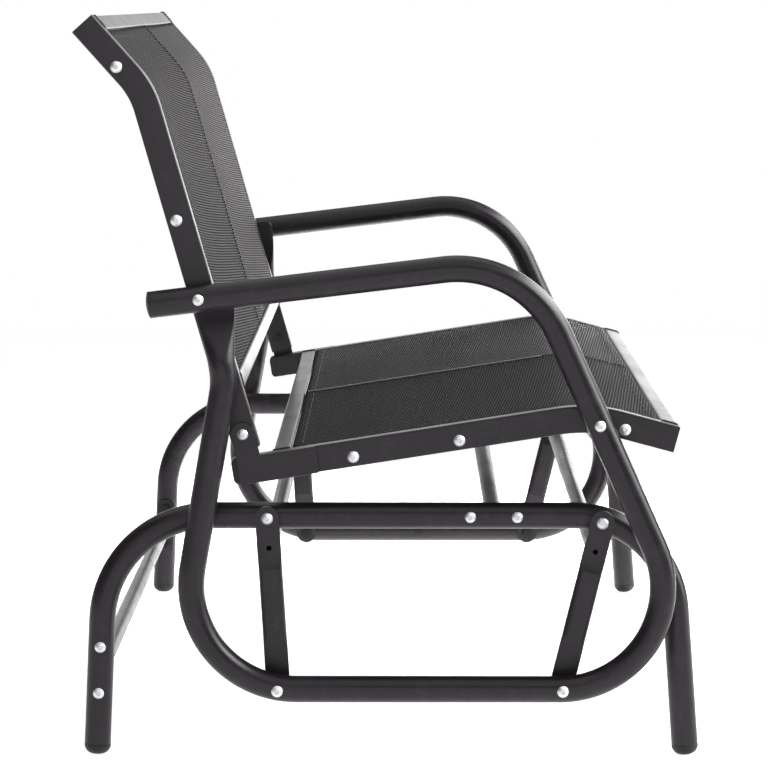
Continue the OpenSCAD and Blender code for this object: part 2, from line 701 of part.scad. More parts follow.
// A sling: one taut sheet over the rails' width, with a hem round the batten at each edge
module sling_section() {
    flat = hem_outer - hem_w + sling_t / 2;
    translate([sling_top - sling_t + $slim, -flat]) square([sling_t - 2 * $slim, 2 * flat]);
    for (s = [-1, 1]) translate([batten_mid, s * (hem_outer - hem_w / 2)]) difference() {
        square([hem_h - 2 * $slim, hem_w - 2 * $slim], center = true);
        square([hem_h - 2 * (sling_t - $slim), hem_w - 2 * (sling_t - $slim)], center = true);
    }
}
seat_sling_path = shortened(seat_centre_path, sling_end_gap, sling_end_gap);
back_sling_path = shortened(back_centre_path, sling_end_gap, sling_end_gap);
module sling(path, radius, screws) {
    color(FABRIC) on_right(0) difference() {
        sweep(path, [radius]) sling_section();
        for (p = screws) for (s = [-1, 1]) translate([0, 0, s * hem_outer])
            drill(p, screw_d + 2 * hole_play, hem_w / 2 + 0.5);
    }
}
module batten(side, path, radius, screws) {
    color(ZINC) on_side(side, batten_y) difference() {
        sweep(path, [radius]) translate([batten_mid, 0])
            square([batten_h - 2 * $slim, batten_t - 2 * $slim], center = true);
        for (p = screws) drill(p, screw_d + 2 * bush_play);
    }
}
module sling_screws(points, outside) {
    color(ZINC) both_sides(outside) for (p = points) translate([p.x, p.y, 0])
        bolt(screw_d, screw_head_d, outside - batten_y + batten_t / 2);
}

// Bolts that hold the rails to the side frames, with their nuts inside the rails
rail_nut_y = rail_outer_y - rail_wall;
module frame_bolts(p) {
    seat = frame_y + tube_r + seat_gap;
    color(ZINC) both_sides(seat) translate([p.x, p.y, 0])
        bolt(frame_bolt_d, frame_head_d, seat - rail_nut_y + frame_bolt_d + 1);
}
module bracket_bolts() {
    color(ZINC) both_sides(plate_y) translate([back_bolt.x, back_bolt.y, 0])
        bolt(frame_bolt_d, frame_head_d, plate_y - rail_inner_y + frame_bolt_d);
}
module rail_nuts(p, y) {
    color(ZINC) both_sides(y) translate([p.x, p.y, 0]) mirror([0, 0, 1]) lock_nut(frame_bolt_d);
}
module seat_saddles() {
    color(NYLON) both_sides(rail_outer_y) difference() {
        translate([front_bolt.x, front_bolt.y, 0]) cylinder(d = spacer_d, h = frame_y - rail_outer_y);
        translate([0, 0, frame_y - rail_outer_y])
            run(along(front_bolt, diagonal_angle, -40), along(front_bolt, diagonal_angle, 40)) saddle_cut();
        drill(front_bolt, frame_bolt_d + 2 * hole_play);
    }
}

base_side("right");  // base_side_right
base_side("left");  // base_side_left
cross_tube([mid_cross_x, base_rail_z], 0);  // base_mid_cross_tube
cross_tube(rear_cross, rear_leg_angle);  // base_rear_cross_tube
foot_cap("right", rear_foot, -rear_leg_lean);  // foot_rear_right
foot_cap("left", rear_foot, -rear_leg_lean);  // foot_rear_left
foot_cap("right", front_foot, front_leg_lean);  // foot_front_right
foot_cap("left", front_foot, front_leg_lean);  // foot_front_left
base_cross_bolts();
base_cross_nuts();
top_pivot_bolts();
top_pivot_nuts();
top_pivot_washers();
hanging_link("right", rear_top, rear_low);  // rear_link_right
hanging_link("left", rear_top, rear_low);  // rear_link_left
tie_tube(rear_top, rear_low);  // rear_link_tie_tube
bushes([rear_top, rear_low]);  // rear_link_bushes
hanging_link("right", front_top, front_low);  // front_link_right
hanging_link("left", front_top, front_low);  // front_link_left
tie_tube(front_top, front_low);  // front_link_tie_tube
bushes([front_top]);  // front_link_bushes
side_frame("right");  // side_frame_right
side_frame("left");  // side_frame_left
arm_cap("right");  // arm_cap_right
arm_cap("left");  // arm_cap_left
rail("right", seat_path, seat_bend, [], [front_bolt], seat_screw_points);  // seat_rail_right
rail("left", seat_path, seat_bend, [], [front_bolt], seat_screw_points);  // seat_rail_left
color(PLASTIC) on_right(rail_y) rail_plug(seat_start, seat_slope, rail_cap_len, rail_cap_len - 0.5);  // seat_rail_cap_right
color(PLASTIC) on_left(rail_y) rail_plug(seat_start, seat_slope, rail_cap_len, rail_cap_len - 0.5);  // seat_rail_cap_left
rail_end_plugs();
seat_bracket("right");  // seat_bracket_right
seat_bracket("left");  // seat_bracket_left
cross_bar(along(seat_end, 180 - seat_front_drop, bar_w / 2), -seat_front_drop);  // seat_front_bar
cross_bar(along(seat_start, seat_slope, seat_rear_bar_at + bar_w / 2), seat_slope);  // seat_rear_bar
centre_rail(seat_centre_path, seat_bend);  // seat_centre_rail
rail("right", back_path, back_bend, [back_bolt], [arm_bolt], back_screw_points);  // back_rail_right
rail("left", back_path, back_bend, [back_bolt], [arm_bolt], back_screw_points);  // back_rail_left
cross_bar(along(back_top, back_head_lean - 90, bar_w / 2), back_head_lean - 90);  // back_top_bar
cross_bar(along(back_bottom, back_angle, back_lower_bar_at + bar_w / 2), back_lean - 90);  // back_lower_bar
centre_rail(back_centre_path, back_bend);  // back_centre_rail
sling(seat_sling_path, seat_bend, seat_screw_points);  // seat_sling
sling(back_sling_path, back_bend, back_screw_points);  // back_sling
batten("right", seat_sling_path, seat_bend, seat_screw_points);  // seat_batten_right
batten("left", seat_sling_path, seat_bend, seat_screw_points);  // seat_batten_left
batten("right", back_sling_path, back_bend, back_screw_points);  // back_batten_right
batten("left", back_sling_path, back_bend, back_screw_points);  // back_batten_left
sling_screws(seat_screw_points, rail_outer_y);  // seat_sling_screws
sling_screws(back_screw_points, rail_outer_y);  // back_sling_screws
frame_bolts(arm_bolt);  // arm_bolts
rail_nuts(arm_bolt, rail_nut_y);  // arm_nuts
bracket_bolts();
rail_nuts(back_bolt, rail_inner_y);  // bracket_nuts
frame_bolts(front_bolt);  // seat_front_bolts
rail_nuts(front_bolt, rail_nut_y);  // seat_front_nuts
seat_saddles();
lower_pivot_bolts();
lower_pivot_nuts();
lower_pivot_spacers();
front_lower_sleeves();
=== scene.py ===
"""Looks of the glider bench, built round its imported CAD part."""
import math

import bmesh
import bpy
import numpy as np
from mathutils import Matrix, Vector


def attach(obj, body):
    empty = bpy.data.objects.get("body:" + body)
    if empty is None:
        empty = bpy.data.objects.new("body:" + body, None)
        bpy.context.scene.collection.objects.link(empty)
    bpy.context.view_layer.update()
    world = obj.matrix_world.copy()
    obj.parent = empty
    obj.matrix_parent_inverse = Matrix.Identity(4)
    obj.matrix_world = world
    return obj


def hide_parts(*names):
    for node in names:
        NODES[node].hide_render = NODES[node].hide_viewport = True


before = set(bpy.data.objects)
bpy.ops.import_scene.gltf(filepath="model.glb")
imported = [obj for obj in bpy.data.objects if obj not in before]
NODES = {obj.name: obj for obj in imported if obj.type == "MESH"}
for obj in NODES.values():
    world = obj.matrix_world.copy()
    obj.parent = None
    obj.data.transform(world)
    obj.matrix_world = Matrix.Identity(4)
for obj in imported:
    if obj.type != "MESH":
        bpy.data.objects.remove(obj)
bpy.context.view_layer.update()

# Sizes in metres and angles in degrees, as in part.scad
TUBE_D = 0.030
TUBE_WALL = 0.0015
TUBE_R = TUBE_D / 2
CROSS_TUBE_R = 0.0095
CROSS_PLATE_T = 0.003
RAIL_H = 0.030
RAIL_W = 0.020
BAR_W = 0.020
BOX_CORNER = 0.0025
PLATE_T = 0.004
LINK_FLAT = 0.005
LOWER_SPACER_T = 0.006
SADDLE_WASHER_T = 0.0015
SEAT_GAP = 0.0002
RUNNING_GAP = 0.0003
FIT_GAP = 0.0001
FOOT_CAP_H = 0.012

# Distances of each layer from the bench's middle plane, from the outside inward
FRAME_Y = 0.590
PLATE_Y = FRAME_Y - TUBE_R - SEAT_GAP
RAIL_OUTER_Y = PLATE_Y - PLATE_T
RAIL_INNER_Y = RAIL_OUTER_Y - RAIL_W
LINK_Y = FRAME_Y - TUBE_R - LOWER_SPACER_T - LINK_FLAT / 2
BASE_Y = LINK_Y - LINK_FLAT / 2 - SADDLE_WASHER_T - TUBE_R
SIDES = (("right", -1), ("left", 1))


# Plane geometry of the side view, where a point is (x, z)
def along(p, deg, d):
    return (p[0] + d * math.cos(math.radians(deg)), p[1] + d * math.sin(math.radians(deg)))


def heading(p, q):
    return math.degrees(math.atan2(q[1] - p[1], q[0] - p[0]))


def cross_of(p, a, q, b):
    """Where the line through p at angle a meets the line through q at angle b."""
    a_r, b_r = math.radians(a), math.radians(b)
    t = ((q[0] - p[0]) * math.sin(b_r) - (q[1] - p[1]) * math.cos(b_r)) / math.sin(b_r - a_r)
    return along(p, a, t)


def shortened(path, first, last):
    out = list(path)
    out[0] = along(path[0], heading(path[0], path[1]), first)
    out[-1] = along(path[-1], heading(path[-1], path[-2]), last)
    return out


def slope(deg):
    return math.tan(math.radians(deg))


# Base: the tube's path, its bends and where the cross tubes meet it
BASE_RAIL_Z = 0.2745
FOOT_X = 0.33575
REAR_LEG_LEAN = 2.6
FRONT_LEG_LEAN = 4.2
MID_CROSS_X = 0.116
REAR_CROSS_Z = 0.0985
REAR_FOOT = (-FOOT_X, 0.0)
FRONT_FOOT = (FOOT_X, 0.0)
BASE_REAR_CORNER = (-FOOT_X + BASE_RAIL_Z * slope(REAR_LEG_LEAN), BASE_RAIL_Z)
BASE_FRONT_CORNER = (FOOT_X - BASE_RAIL_Z * slope(FRONT_LEG_LEAN), BASE_RAIL_Z)
BASE_PATH = [REAR_FOOT, BASE_REAR_CORNER, BASE_FRONT_CORNER, FRONT_FOOT]
BASE_BENDS = [0.125, 0.116]

# Links: pivots and tie tubes
LINK_LEN = 0.191
REAR_LINK_LEAN = 0.012
FRONT_LINK_LEAN = 0.0453
REAR_PIVOT_X = -0.140
FRONT_PIVOT_X = 0.2385
REAR_PIVOT_DROP = 0.001
TIE_DROP = 0.0335
REAR_TOP = (REAR_PIVOT_X, BASE_RAIL_Z - REAR_PIVOT_DROP)
LOWER_Z = REAR_TOP[1] - math.sqrt(LINK_LEN ** 2 - REAR_LINK_LEAN ** 2)
REAR_LOW = (REAR_PIVOT_X + REAR_LINK_LEAN, LOWER_Z)
FRONT_TOP = (FRONT_PIVOT_X, LOWER_Z + math.sqrt(LINK_LEN ** 2 - FRONT_LINK_LEAN ** 2))
FRONT_LOW = (FRONT_PIVOT_X - FRONT_LINK_LEAN, LOWER_Z)

# Side frame: arm, front diagonal, loop and upright
ARM_REAR = 0.270
ARM_Z = 0.550
ARM_SLOPE = 6.9
DIAGONAL = -90 + 24.2
UPRIGHT_FOOT_X = -0.247
UPRIGHT = 90 - 9.9
UPRIGHT_TIP_LEAN = 7.5
UPRIGHT_TIP = 90 + UPRIGHT_TIP_LEAN
KINK_Z = 0.430
KINK_BEND = 0.090
ARM_BOLT_BACK = 0.003
NECK_RUN = 0.001
FRONT_BOLT = (0.2332, 0.3832)
ARM_END = (-ARM_REAR, ARM_Z - ARM_REAR * slope(ARM_SLOPE))
ARM_CORNER = cross_of(ARM_END, ARM_SLOPE, FRONT_BOLT, DIAGONAL)
FRONT_LOW_CORNER = cross_of(FRONT_BOLT, DIAGONAL, (0, LOWER_Z), 0)
UPRIGHT_FOOT = (UPRIGHT_FOOT_X, LOWER_Z)
KINK = cross_of(UPRIGHT_FOOT, UPRIGHT, (0, KINK_Z), 0)
KINK_TRIM = KINK_BEND * slope((UPRIGHT_TIP - UPRIGHT) / 2)
NECK = along(KINK, UPRIGHT_TIP, KINK_TRIM + NECK_RUN)
FRAME_PATH = [ARM_END, ARM_CORNER, FRONT_LOW_CORNER, UPRIGHT_FOOT, KINK, NECK]
FRAME_BENDS = [0.125, 0.115, 0.118, KINK_BEND]

# Seat rails
SEAT_CORNER = (0.2235, 0.3899)
SEAT_SLOPE = 8.9
SEAT_DROP = 15.0
SEAT_MAIN_LEN = 0.400
SEAT_FRONT_LEN = 0.100
SEAT_BEND = 0.165
SEAT_START = along(SEAT_CORNER, 180 + SEAT_SLOPE, SEAT_MAIN_LEN)
SEAT_END = along(SEAT_CORNER, -SEAT_DROP, SEAT_FRONT_LEN)
SEAT_PATH = [SEAT_START, SEAT_CORNER, SEAT_END]
SEAT_REAR_BAR_AT = 0.041

# Back rails
BACK_BOLT = (-0.167, 0.370)
BACK_LEAN = 16.0
HEAD_LEAN = 41.8
BACK_MAIN_LEN = 0.401
HEAD_LEN = 0.098
BACK_TAIL = 0.017
BACK_BEND = 0.095
BACK_CORNER = along(BACK_BOLT, 90 + BACK_LEAN, BACK_MAIN_LEN)
BACK_TOP = along(BACK_CORNER, 90 + HEAD_LEAN, HEAD_LEN)
BACK_BOTTOM = along(BACK_BOLT, 90 + BACK_LEAN, -BACK_TAIL)
BACK_PATH = [BACK_TOP, BACK_CORNER, BACK_BOTTOM]
BACK_LOWER_BAR_AT = 0.064
ARM_BOLT = along(cross_of(ARM_END, ARM_SLOPE, BACK_BOLT, 90 + BACK_LEAN), ARM_SLOPE, -ARM_BOLT_BACK)

# The bench is centred on its overall depth, from the top plugs' rear corners to the front feet
PLUG_T = 0.0012
PLUG_ROUND = 0.001
CAP_REACH = TUBE_R + 0.0005
HEAD_LEAN_R = math.radians(HEAD_LEAN)
BACK_REACH = (BACK_TOP[0] - (PLUG_T - PLUG_ROUND) * math.sin(HEAD_LEAN_R)
              - (RAIL_H / 2 - PLUG_ROUND) * math.cos(HEAD_LEAN_R) - PLUG_ROUND)
SHIFT_X = -(BACK_REACH + FOOT_X + CAP_REACH) / 2

# Slings: the sheet's top lies below the rail's top, with a hem round each batten
SLING_T = 0.0012
HALF_T = SLING_T / 2
SLING_DROP = 0.0005
SLING_TOP = RAIL_H / 2 - SLING_DROP
BATTEN_T = 0.005
BATTEN_H = 0.022
HEM_W = BATTEN_T + 2 * FIT_GAP + 2 * SLING_T
HEM_H = BATTEN_H + 2 * FIT_GAP + 2 * SLING_T
HEM_OUTER = RAIL_INNER_Y - RUNNING_GAP
HEM_INNER = HEM_OUTER - HEM_W
END_GAP = 0.002
SEAT_SLING_PATH = shortened(SEAT_PATH, SEAT_REAR_BAR_AT + BAR_W + END_GAP, BAR_W + END_GAP)
BACK_SLING_PATH = shortened(BACK_PATH, BAR_W + END_GAP, BACK_LOWER_BAR_AT + BAR_W + END_GAP)


# Mesh code
def walk(path, radii, run_step, bend_step):
    """Stations (x, z, heading in radians, way gone) along straight runs joined by round bends."""
    corners = len(path) - 1
    turns = []
    for i in range(1, corners):
        turn = heading(path[i], path[i + 1]) - heading(path[i - 1], path[i])
        turns.append((turn + 180) % 360 - 180)
    trims = [0] + [r * slope(abs(turn) / 2) for r, turn in zip(radii, turns)] + [0]
    out, s = [], 0.0
    for i in range(corners):
        a = heading(path[i], path[i + 1])
        p, q = along(path[i], a, trims[i]), along(path[i + 1], a, -trims[i + 1])
        length = math.dist(p, q)
        count = max(1, round(length / run_step))
        for j in range(1 if out else 0, count + 1):
            x, z = along(p, a, length * j / count)
            out.append((x, z, math.radians(a), s + length * j / count))
        s += length
        if i < corners - 1:
            turn, radius = turns[i], radii[i]
            centre = along(q, a + math.copysign(90, turn), radius)
            arc = radius * math.radians(abs(turn))
            count = max(2, round(arc / bend_step))
            for j in range(1, count + 1):
                b = a + turn * j / count
                x, z = along(centre, b - math.copysign(90, turn), radius)
                out.append((x, z, math.radians(b), s + arc * j / count))
            s += arc
    return out


def lift(x, z, a, u, y):
    """The point in space that lies u to the left of a station's way, at y across the bench."""
    return (x - u * math.sin(a) + SHIFT_X, y, z + u * math.cos(a))


def full_turn(count):
    """Angles in radians that divide a full turn."""
    return [2 * math.pi * j / count for j in range(count)]


def between(a, b, t):
    return a + (b - a) * t


def ease(t):
    t = min(max(t, 0.0), 1.0)
    return t * t * (3 - 2 * t)


def bell(x, reach):
    return math.exp(-(x / reach) ** 2)


def superellipse(half_u, half_v, power, count):
    out = []
    for t in full_turn(count):
        c, s = math.cos(t), math.sin(t)
        out.append((half_u * math.copysign(abs(c) ** (2 / power), c),
                    half_v * math.copysign(abs(s) ** (2 / power), s)))
    return out


def grid_faces(rows, columns, round_rows=False, round_columns=False):
    """Quads over a grid of vertices, which may close on itself either way."""
    faces = []
    for i in range(rows if round_rows else rows - 1):
        up = (i + 1) % rows
        for j in range(columns if round_columns else columns - 1):
            k = (j + 1) % columns
            faces.append((i * columns + j, i * columns + k, up * columns + k, up * columns + j))
    return faces


def lofted(rings):
    """Quads between closed rings of equal count, and an end face on each end."""
    count = len(rings[0])
    last = (len(rings) - 1) * count
    faces = grid_faces(len(rings), count, round_columns=True)
    faces += [tuple(range(count)), tuple(last + j for j in range(count))]
    return [v for ring in rings for v in ring], faces


def merge(parts):
    """One mesh of several (verts, faces)."""
    verts, faces = [], []
    for part_verts, part_faces in parts:
        n = len(verts)
        verts += part_verts
        faces += [tuple(i + n for i in face) for face in part_faces]
    return verts, faces


# Angles in radians above which an edge is shaded sharp
METAL_EDGE = 0.6
BEAD_EDGE = 1.2
CLOTH_EDGE = 3.2


def finish_mesh(name, verts, faces, material, body, slot, uvs=None, sharp=METAL_EDGE):
    """An object that rides on a body and takes the material; slot is not used; uvs has one (along, across)
    a vertex.
    """
    mesh = bpy.data.meshes.new(name)
    mesh.from_pydata(verts, [], faces)
    if uvs is not None:
        layer = mesh.uv_layers.new(name="cut")
        for loop in mesh.loops:
            layer.data[loop.index].uv = uvs[loop.vertex_index]
    bm = bmesh.new()
    bm.from_mesh(mesh)
    bmesh.ops.recalc_face_normals(bm, faces=bm.faces)
    bm.to_mesh(mesh)
    bm.free()
    mesh.polygons.foreach_set("use_smooth", [True] * len(mesh.polygons))
    mesh.set_sharp_from_angle(angle=sharp)
    mesh.materials.append(material)
    obj = bpy.data.objects.new(name, mesh)
    bpy.context.scene.collection.objects.link(obj)
    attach(obj, body)
    return obj


# Materials
# The middle range of a noise, which spread() stretches where a call gives no other
NOISE_LOW = 0.3
NOISE_HIGH = 0.7
PAINT_TINT = 0.27
CLOTH_TINT = 0.06
PLASTIC_TINT = 0.02


class Graph:
    """A few short words for building a material's nodes."""

    def __init__(self, name):
        self.mat = bpy.data.materials.new(name)
        self.mat.use_nodes = True
        self.tree = self.mat.node_tree
        self.tree.nodes.clear()
        self.out = self.tree.nodes.new("ShaderNodeOutputMaterial")
        self.bsdf = self.node("ShaderNodeBsdfPrincipled")
        self.tree.links.new(self.bsdf.outputs[0], self.out.inputs["Surface"])

    def node(self, kind, settings=None, **inputs):
        n = self.tree.nodes.new(kind)
        for key, value in (settings or {}).items():
            setattr(n, key, value)
        for key, value in inputs.items():
            self.feed(n.inputs[key.replace("_", " ")], value)
        return n

    def feed(self, socket, value):
        if isinstance(value, bpy.types.NodeSocket):
            self.tree.links.new(value, socket)
        else:
            socket.default_value = value

    def math(self, operation, a, b=0.0):
        n = self.tree.nodes.new("ShaderNodeMath")
        n.operation = operation
        self.feed(n.inputs[0], a)
        self.feed(n.inputs[1], b)
        return n.outputs[0]

    def times(self, a, b):
        return self.math("MULTIPLY", a, b)

    def plus(self, a, b):
        return self.math("ADD", a, b)

    def place(self):
        return self.node("ShaderNodeTexCoord").outputs["Object"]

    def noise(self, vector, scale, detail=3.0, rough=0.55):
        return self.node("ShaderNodeTexNoise", Vector=vector, Scale=scale, Detail=detail,
                         Roughness=rough).outputs["Fac"]

    def spread(self, value, low=NOISE_LOW, high=NOISE_HIGH, to_low=0.0, to_high=1.0):
        return self.node("ShaderNodeMapRange", Value=value, From_Min=low, From_Max=high,
                         To_Min=to_low, To_Max=to_high).outputs[0]

    def blend(self, factor, a, b):
        n = self.tree.nodes.new("ShaderNodeMix")
        n.data_type = "RGBA"
        for socket, value in ((0, factor), (6, a), (7, b)):
            self.feed(n.inputs[socket], value)
        return n.outputs[2]

    def bump(self, height, strength, distance, under=None):
        n = self.node("ShaderNodeBump", Height=height, Strength=strength, Distance=distance)
        if under is not None:
            self.tree.links.new(under, n.inputs["Normal"])
        return n.outputs[0]

    def set(self, **inputs):
        for key, value in inputs.items():
            self.feed(self.bsdf.inputs[key.replace("_", " ")], value)
        return self.mat


def grey(level, tint=0.0):
    """A grey with a little more red and blue than green."""
    return (level * (1 + tint), level, level * (1 + tint), 1.0)


def paint_material(name, dark, light):
    """Powder coat: fine orange peel, faint unevenness, worn and dusty in places."""
    dust_tone, dust_share, dust_rough = 0.105, 0.16, 0.10
    speck_tone, speck_share = 0.10, 0.35
    g = Graph(name)
    place = g.place()
    peel = g.noise(place, scale=620.0, detail=2.0)
    cloud = g.noise(place, scale=7.0, detail=4.0)
    dust = g.spread(g.noise(place, scale=38.0, detail=6.0, rough=0.7), low=0.52, high=0.74)
    speck = g.spread(g.noise(place, scale=1900.0, detail=1.0), low=0.66, high=0.72)
    tone = g.blend(g.spread(cloud), grey(dark, PAINT_TINT), grey(light, PAINT_TINT))
    tone = g.blend(g.times(dust, dust_share), tone, grey(dust_tone, PAINT_TINT))
    tone = g.blend(g.times(speck, speck_share), tone, grey(speck_tone))
    rough = g.plus(g.spread(cloud, to_low=0.27, to_high=0.35), g.times(dust, dust_rough))
    return g.set(Base_Color=tone, Roughness=rough, Specular_IOR_Level=0.33,
                 Normal=g.bump(peel, strength=0.05, distance=0.0006))


# A bolt or nut is coloured dark on the bench's side of this plane
DARK_INNER_Y = 0.5605
DARK_INNER_EDGE = 0.001


def zinc_material(name, tone, rough_low, rough_high):
    """Plated steel: stained and scratched, with painted shade in the drive's socket and wherever other
    surfaces are near, and darker on the bench's side of a plane.
    """
    stain_tone, stain_share = 0.45, 0.45
    painted_shade_tone, painted_shade_reach = 0.3, 0.0035
    inner_dark_tone = 0.035
    blue = 1.02
    g = Graph(name)
    place = g.place()
    cloud = g.noise(place, scale=160.0, detail=4.0)
    brushed = g.node("ShaderNodeMapping", Vector=place, Scale=(1.0, 1.0, 9.0)).outputs[0]
    scratch = g.noise(brushed, scale=900.0)
    stain = g.spread(g.noise(place, scale=420.0, detail=5.0, rough=0.7), low=0.55, high=0.75)
    colour = g.blend(g.times(stain, stain_share), (tone, tone, tone * blue, 1), grey(tone * stain_tone))
    # Painted shade: an ambient occlusion node darkens the colour where other surfaces are near, as in the
    # drive's socket.
    painted_shade = g.node("ShaderNodeAmbientOcclusion", {"samples": 8}, Distance=painted_shade_reach).outputs["AO"]
    colour = g.blend(g.spread(painted_shade, low=0.20, high=0.70), grey(tone * painted_shade_tone), colour)
    # The colour turns dark nearer the bench's middle than a set plane.
    inward = g.math("ABSOLUTE", g.node("ShaderNodeSeparateXYZ", Vector=place).outputs[1])
    outer_share = g.spread(inward, low=DARK_INNER_Y - DARK_INNER_EDGE, high=DARK_INNER_Y)
    colour = g.blend(outer_share, grey(inner_dark_tone), colour)
    return g.set(Base_Color=colour, Metallic=1.0,
                 Roughness=g.spread(cloud, to_low=rough_low, to_high=rough_high),
                 Normal=g.bump(scratch, strength=0.25, distance=0.0002))


def plastic_material(name, dark, light, grain):
    """Moulded plastic or plain metal with a fine grain and pale scuffs."""
    scuff_share, scuff_tone, palest = 0.25, 3, 0.8
    g = Graph(name)
    place = g.place()
    cloud = g.noise(place, scale=22.0, detail=5.0)
    fine = g.noise(place, scale=grain, detail=2.0)
    scuff = g.spread(g.noise(place, scale=90.0, detail=6.0, rough=0.75), low=0.60, high=0.75)
    tone = g.blend(g.spread(cloud), grey(dark, PLASTIC_TINT), grey(light, PLASTIC_TINT))
    tone = g.blend(g.times(scuff, scuff_share), tone, grey(min(light * scuff_tone, palest)))
    return g.set(Base_Color=tone, Roughness=g.spread(fine, to_low=0.38, to_high=0.52),
                 Specular_IOR_Level=0.33, Normal=g.bump(fine, strength=0.25, distance=0.0004))


# Weave: pitch of the yarns, and of the lines that their crossings draw over the cloth
YARN = 0.0026
TWILL_RUN = 0.0034
TWILL_SLANT, TWILL_SHARE = -0.080, 0.56
COUNTER_SLANT, COUNTER_SHARE = 0.120, 0.26
CROSSING_SHARE = 0.22
WANDER = 0.9


def sling_material(name, dark, light):
    """Coated polyester mesh: crossing lines of pale yarn, dark gaps, worn and dusty in places."""
    fleck_share, fleck_tone = 0.20, 1.25
    fade_share, fade_tone, fade_rough = 0.20, 0.42, 0.06
    hole_share, hole_tone = 0.55, 0.3
    g = Graph(name)
    uv = g.node("ShaderNodeUVMap", {"uv_map": "cut"}).outputs[0]
    xy = g.node("ShaderNodeSeparateXYZ", Vector=uv)
    s, v = xy.outputs[0], xy.outputs[1]
    shift = g.times(g.math("SUBTRACT", g.noise(uv, scale=30.0), 0.5), WANDER)

    def wave(value, pitch, phase=None):
        angle = g.times(value, 2 * math.pi / pitch)
        if phase is not None:
            angle = g.plus(angle, phase)
        return g.math("SINE", angle)

    warp = wave(s, YARN, shift)
    weft = wave(v, YARN, shift)
    twill = wave(g.plus(s, g.times(v, TWILL_SLANT)), TWILL_RUN)
    counter = wave(g.plus(s, g.times(v, COUNTER_SLANT)), TWILL_RUN)
    crossing = g.times(warp, weft)
    lines = g.plus(g.times(twill, TWILL_SHARE), g.times(counter, COUNTER_SHARE))
    weave = g.spread(g.plus(g.times(crossing, CROSSING_SHARE), lines), low=-0.22, high=0.42)
    hole = g.spread(g.math("MINIMUM", warp, weft), low=-1.0, high=-0.55, to_low=1.0, to_high=0.0)
    fade = g.spread(g.noise(uv, scale=5.0, detail=4.0))
    fleck = g.spread(g.noise(uv, scale=700.0, detail=2.0), low=0.35, high=0.65)
    tone = g.blend(weave, grey(dark, CLOTH_TINT), grey(light, CLOTH_TINT))
    tone = g.blend(g.times(fleck, fleck_share), tone, grey(light * fleck_tone, CLOTH_TINT))
    tone = g.blend(g.times(fade, fade_share), tone, grey((dark + light) * fade_tone, CLOTH_TINT))
    tone = g.blend(g.times(hole, hole_share), tone, grey(dark * hole_tone))
    rough = g.plus(g.spread(weave, low=0.0, high=1.0, to_low=0.86, to_high=0.66),
                   g.times(fade, fade_rough))
    relief = g.plus(g.times(weave, 0.7), g.times(fleck, 0.2))
    normal = g.bump(relief, strength=0.55, distance=0.0007,
                    under=g.bump(fade, strength=0.15, distance=0.002))
    return g.set(Base_Color=tone, Roughness=rough, Specular_IOR_Level=0.02, Normal=normal)


def thread_material(name, tone, rough_low=0.55, rough_high=0.75, gloss=0.5):
    """Twisted thread, darker and lighter along its twist."""
    dark, light = 0.7, 1.3
    g = Graph(name)
    twist = g.noise(g.place(), scale=2600.0, detail=2.0)
    colour = g.blend(twist, grey(tone * dark), grey(tone * light))
    return g.set(Base_Color=colour, Roughness=g.spread(twist, to_low=rough_low, to_high=rough_high),
                 Specular_IOR_Level=gloss, Normal=g.bump(twist, strength=0.4, distance=0.0003))


PAINT = paint_material("powder_coat", dark=0.015, light=0.022)
WELD = paint_material("coated_weld", dark=0.020, light=0.032)
ZINC = zinc_material("zinc_plate", tone=0.88, rough_low=0.42, rough_high=0.56)
NUT = zinc_material("dark_nut", tone=0.07, rough_low=0.34, rough_high=0.52)
STEEL = plastic_material("batten_steel", dark=0.16, light=0.24, grain=900.0)
PLASTIC = plastic_material("black_plastic", dark=0.012, light=0.020, grain=1500.0)
NYLON = plastic_material("nylon", dark=0.10, light=0.14, grain=1200.0)
SLING = sling_material("sling_weave", dark=0.0015, light=0.122)
THREAD = thread_material("sewing_thread", tone=0.012)
HEM_THREAD = thread_material("hem_thread", tone=0.05)
WELT_THREAD = thread_material("welt_thread", tone=0.80, rough_low=0.22, rough_high=0.34, gloss=0.9)


def both(*names):
    """The right and left node of each name."""
    return [f"{name}_{side_name}" for name in names for side_name, _ in SIDES]


LOOKS = {
    PAINT: both("seat_rail", "seat_bracket", "back_rail", "side_frame", "base_side", "rear_link",
                "front_link")
    + ["base_mid_cross_tube", "base_rear_cross_tube", "rear_link_tie_tube", "front_link_tie_tube",
       "seat_front_bar", "seat_rear_bar", "seat_centre_rail", "back_top_bar", "back_lower_bar",
       "back_centre_rail"],
    ZINC: ["base_cross_bolts", "top_pivot_bolts", "seat_sling_screws", "back_sling_screws", "arm_bolts",
           "bracket_bolts", "seat_front_bolts", "lower_pivot_bolts"],
    NUT: ["base_cross_nuts", "top_pivot_nuts", "arm_nuts", "bracket_nuts", "seat_front_nuts",
          "lower_pivot_nuts"],
    PLASTIC: both("foot_rear", "foot_front", "arm_cap", "seat_rail_cap") + ["rail_end_plugs"],
    NYLON: ["top_pivot_washers", "rear_link_bushes", "front_link_bushes", "seat_saddles",
            "lower_pivot_spacers", "front_lower_sleeves"],
    SLING: ["seat_sling", "back_sling"],
    STEEL: both("seat_batten", "back_batten"),
}
WELD_REACH = 1e-6
SMOOTH_UP_TO = 38


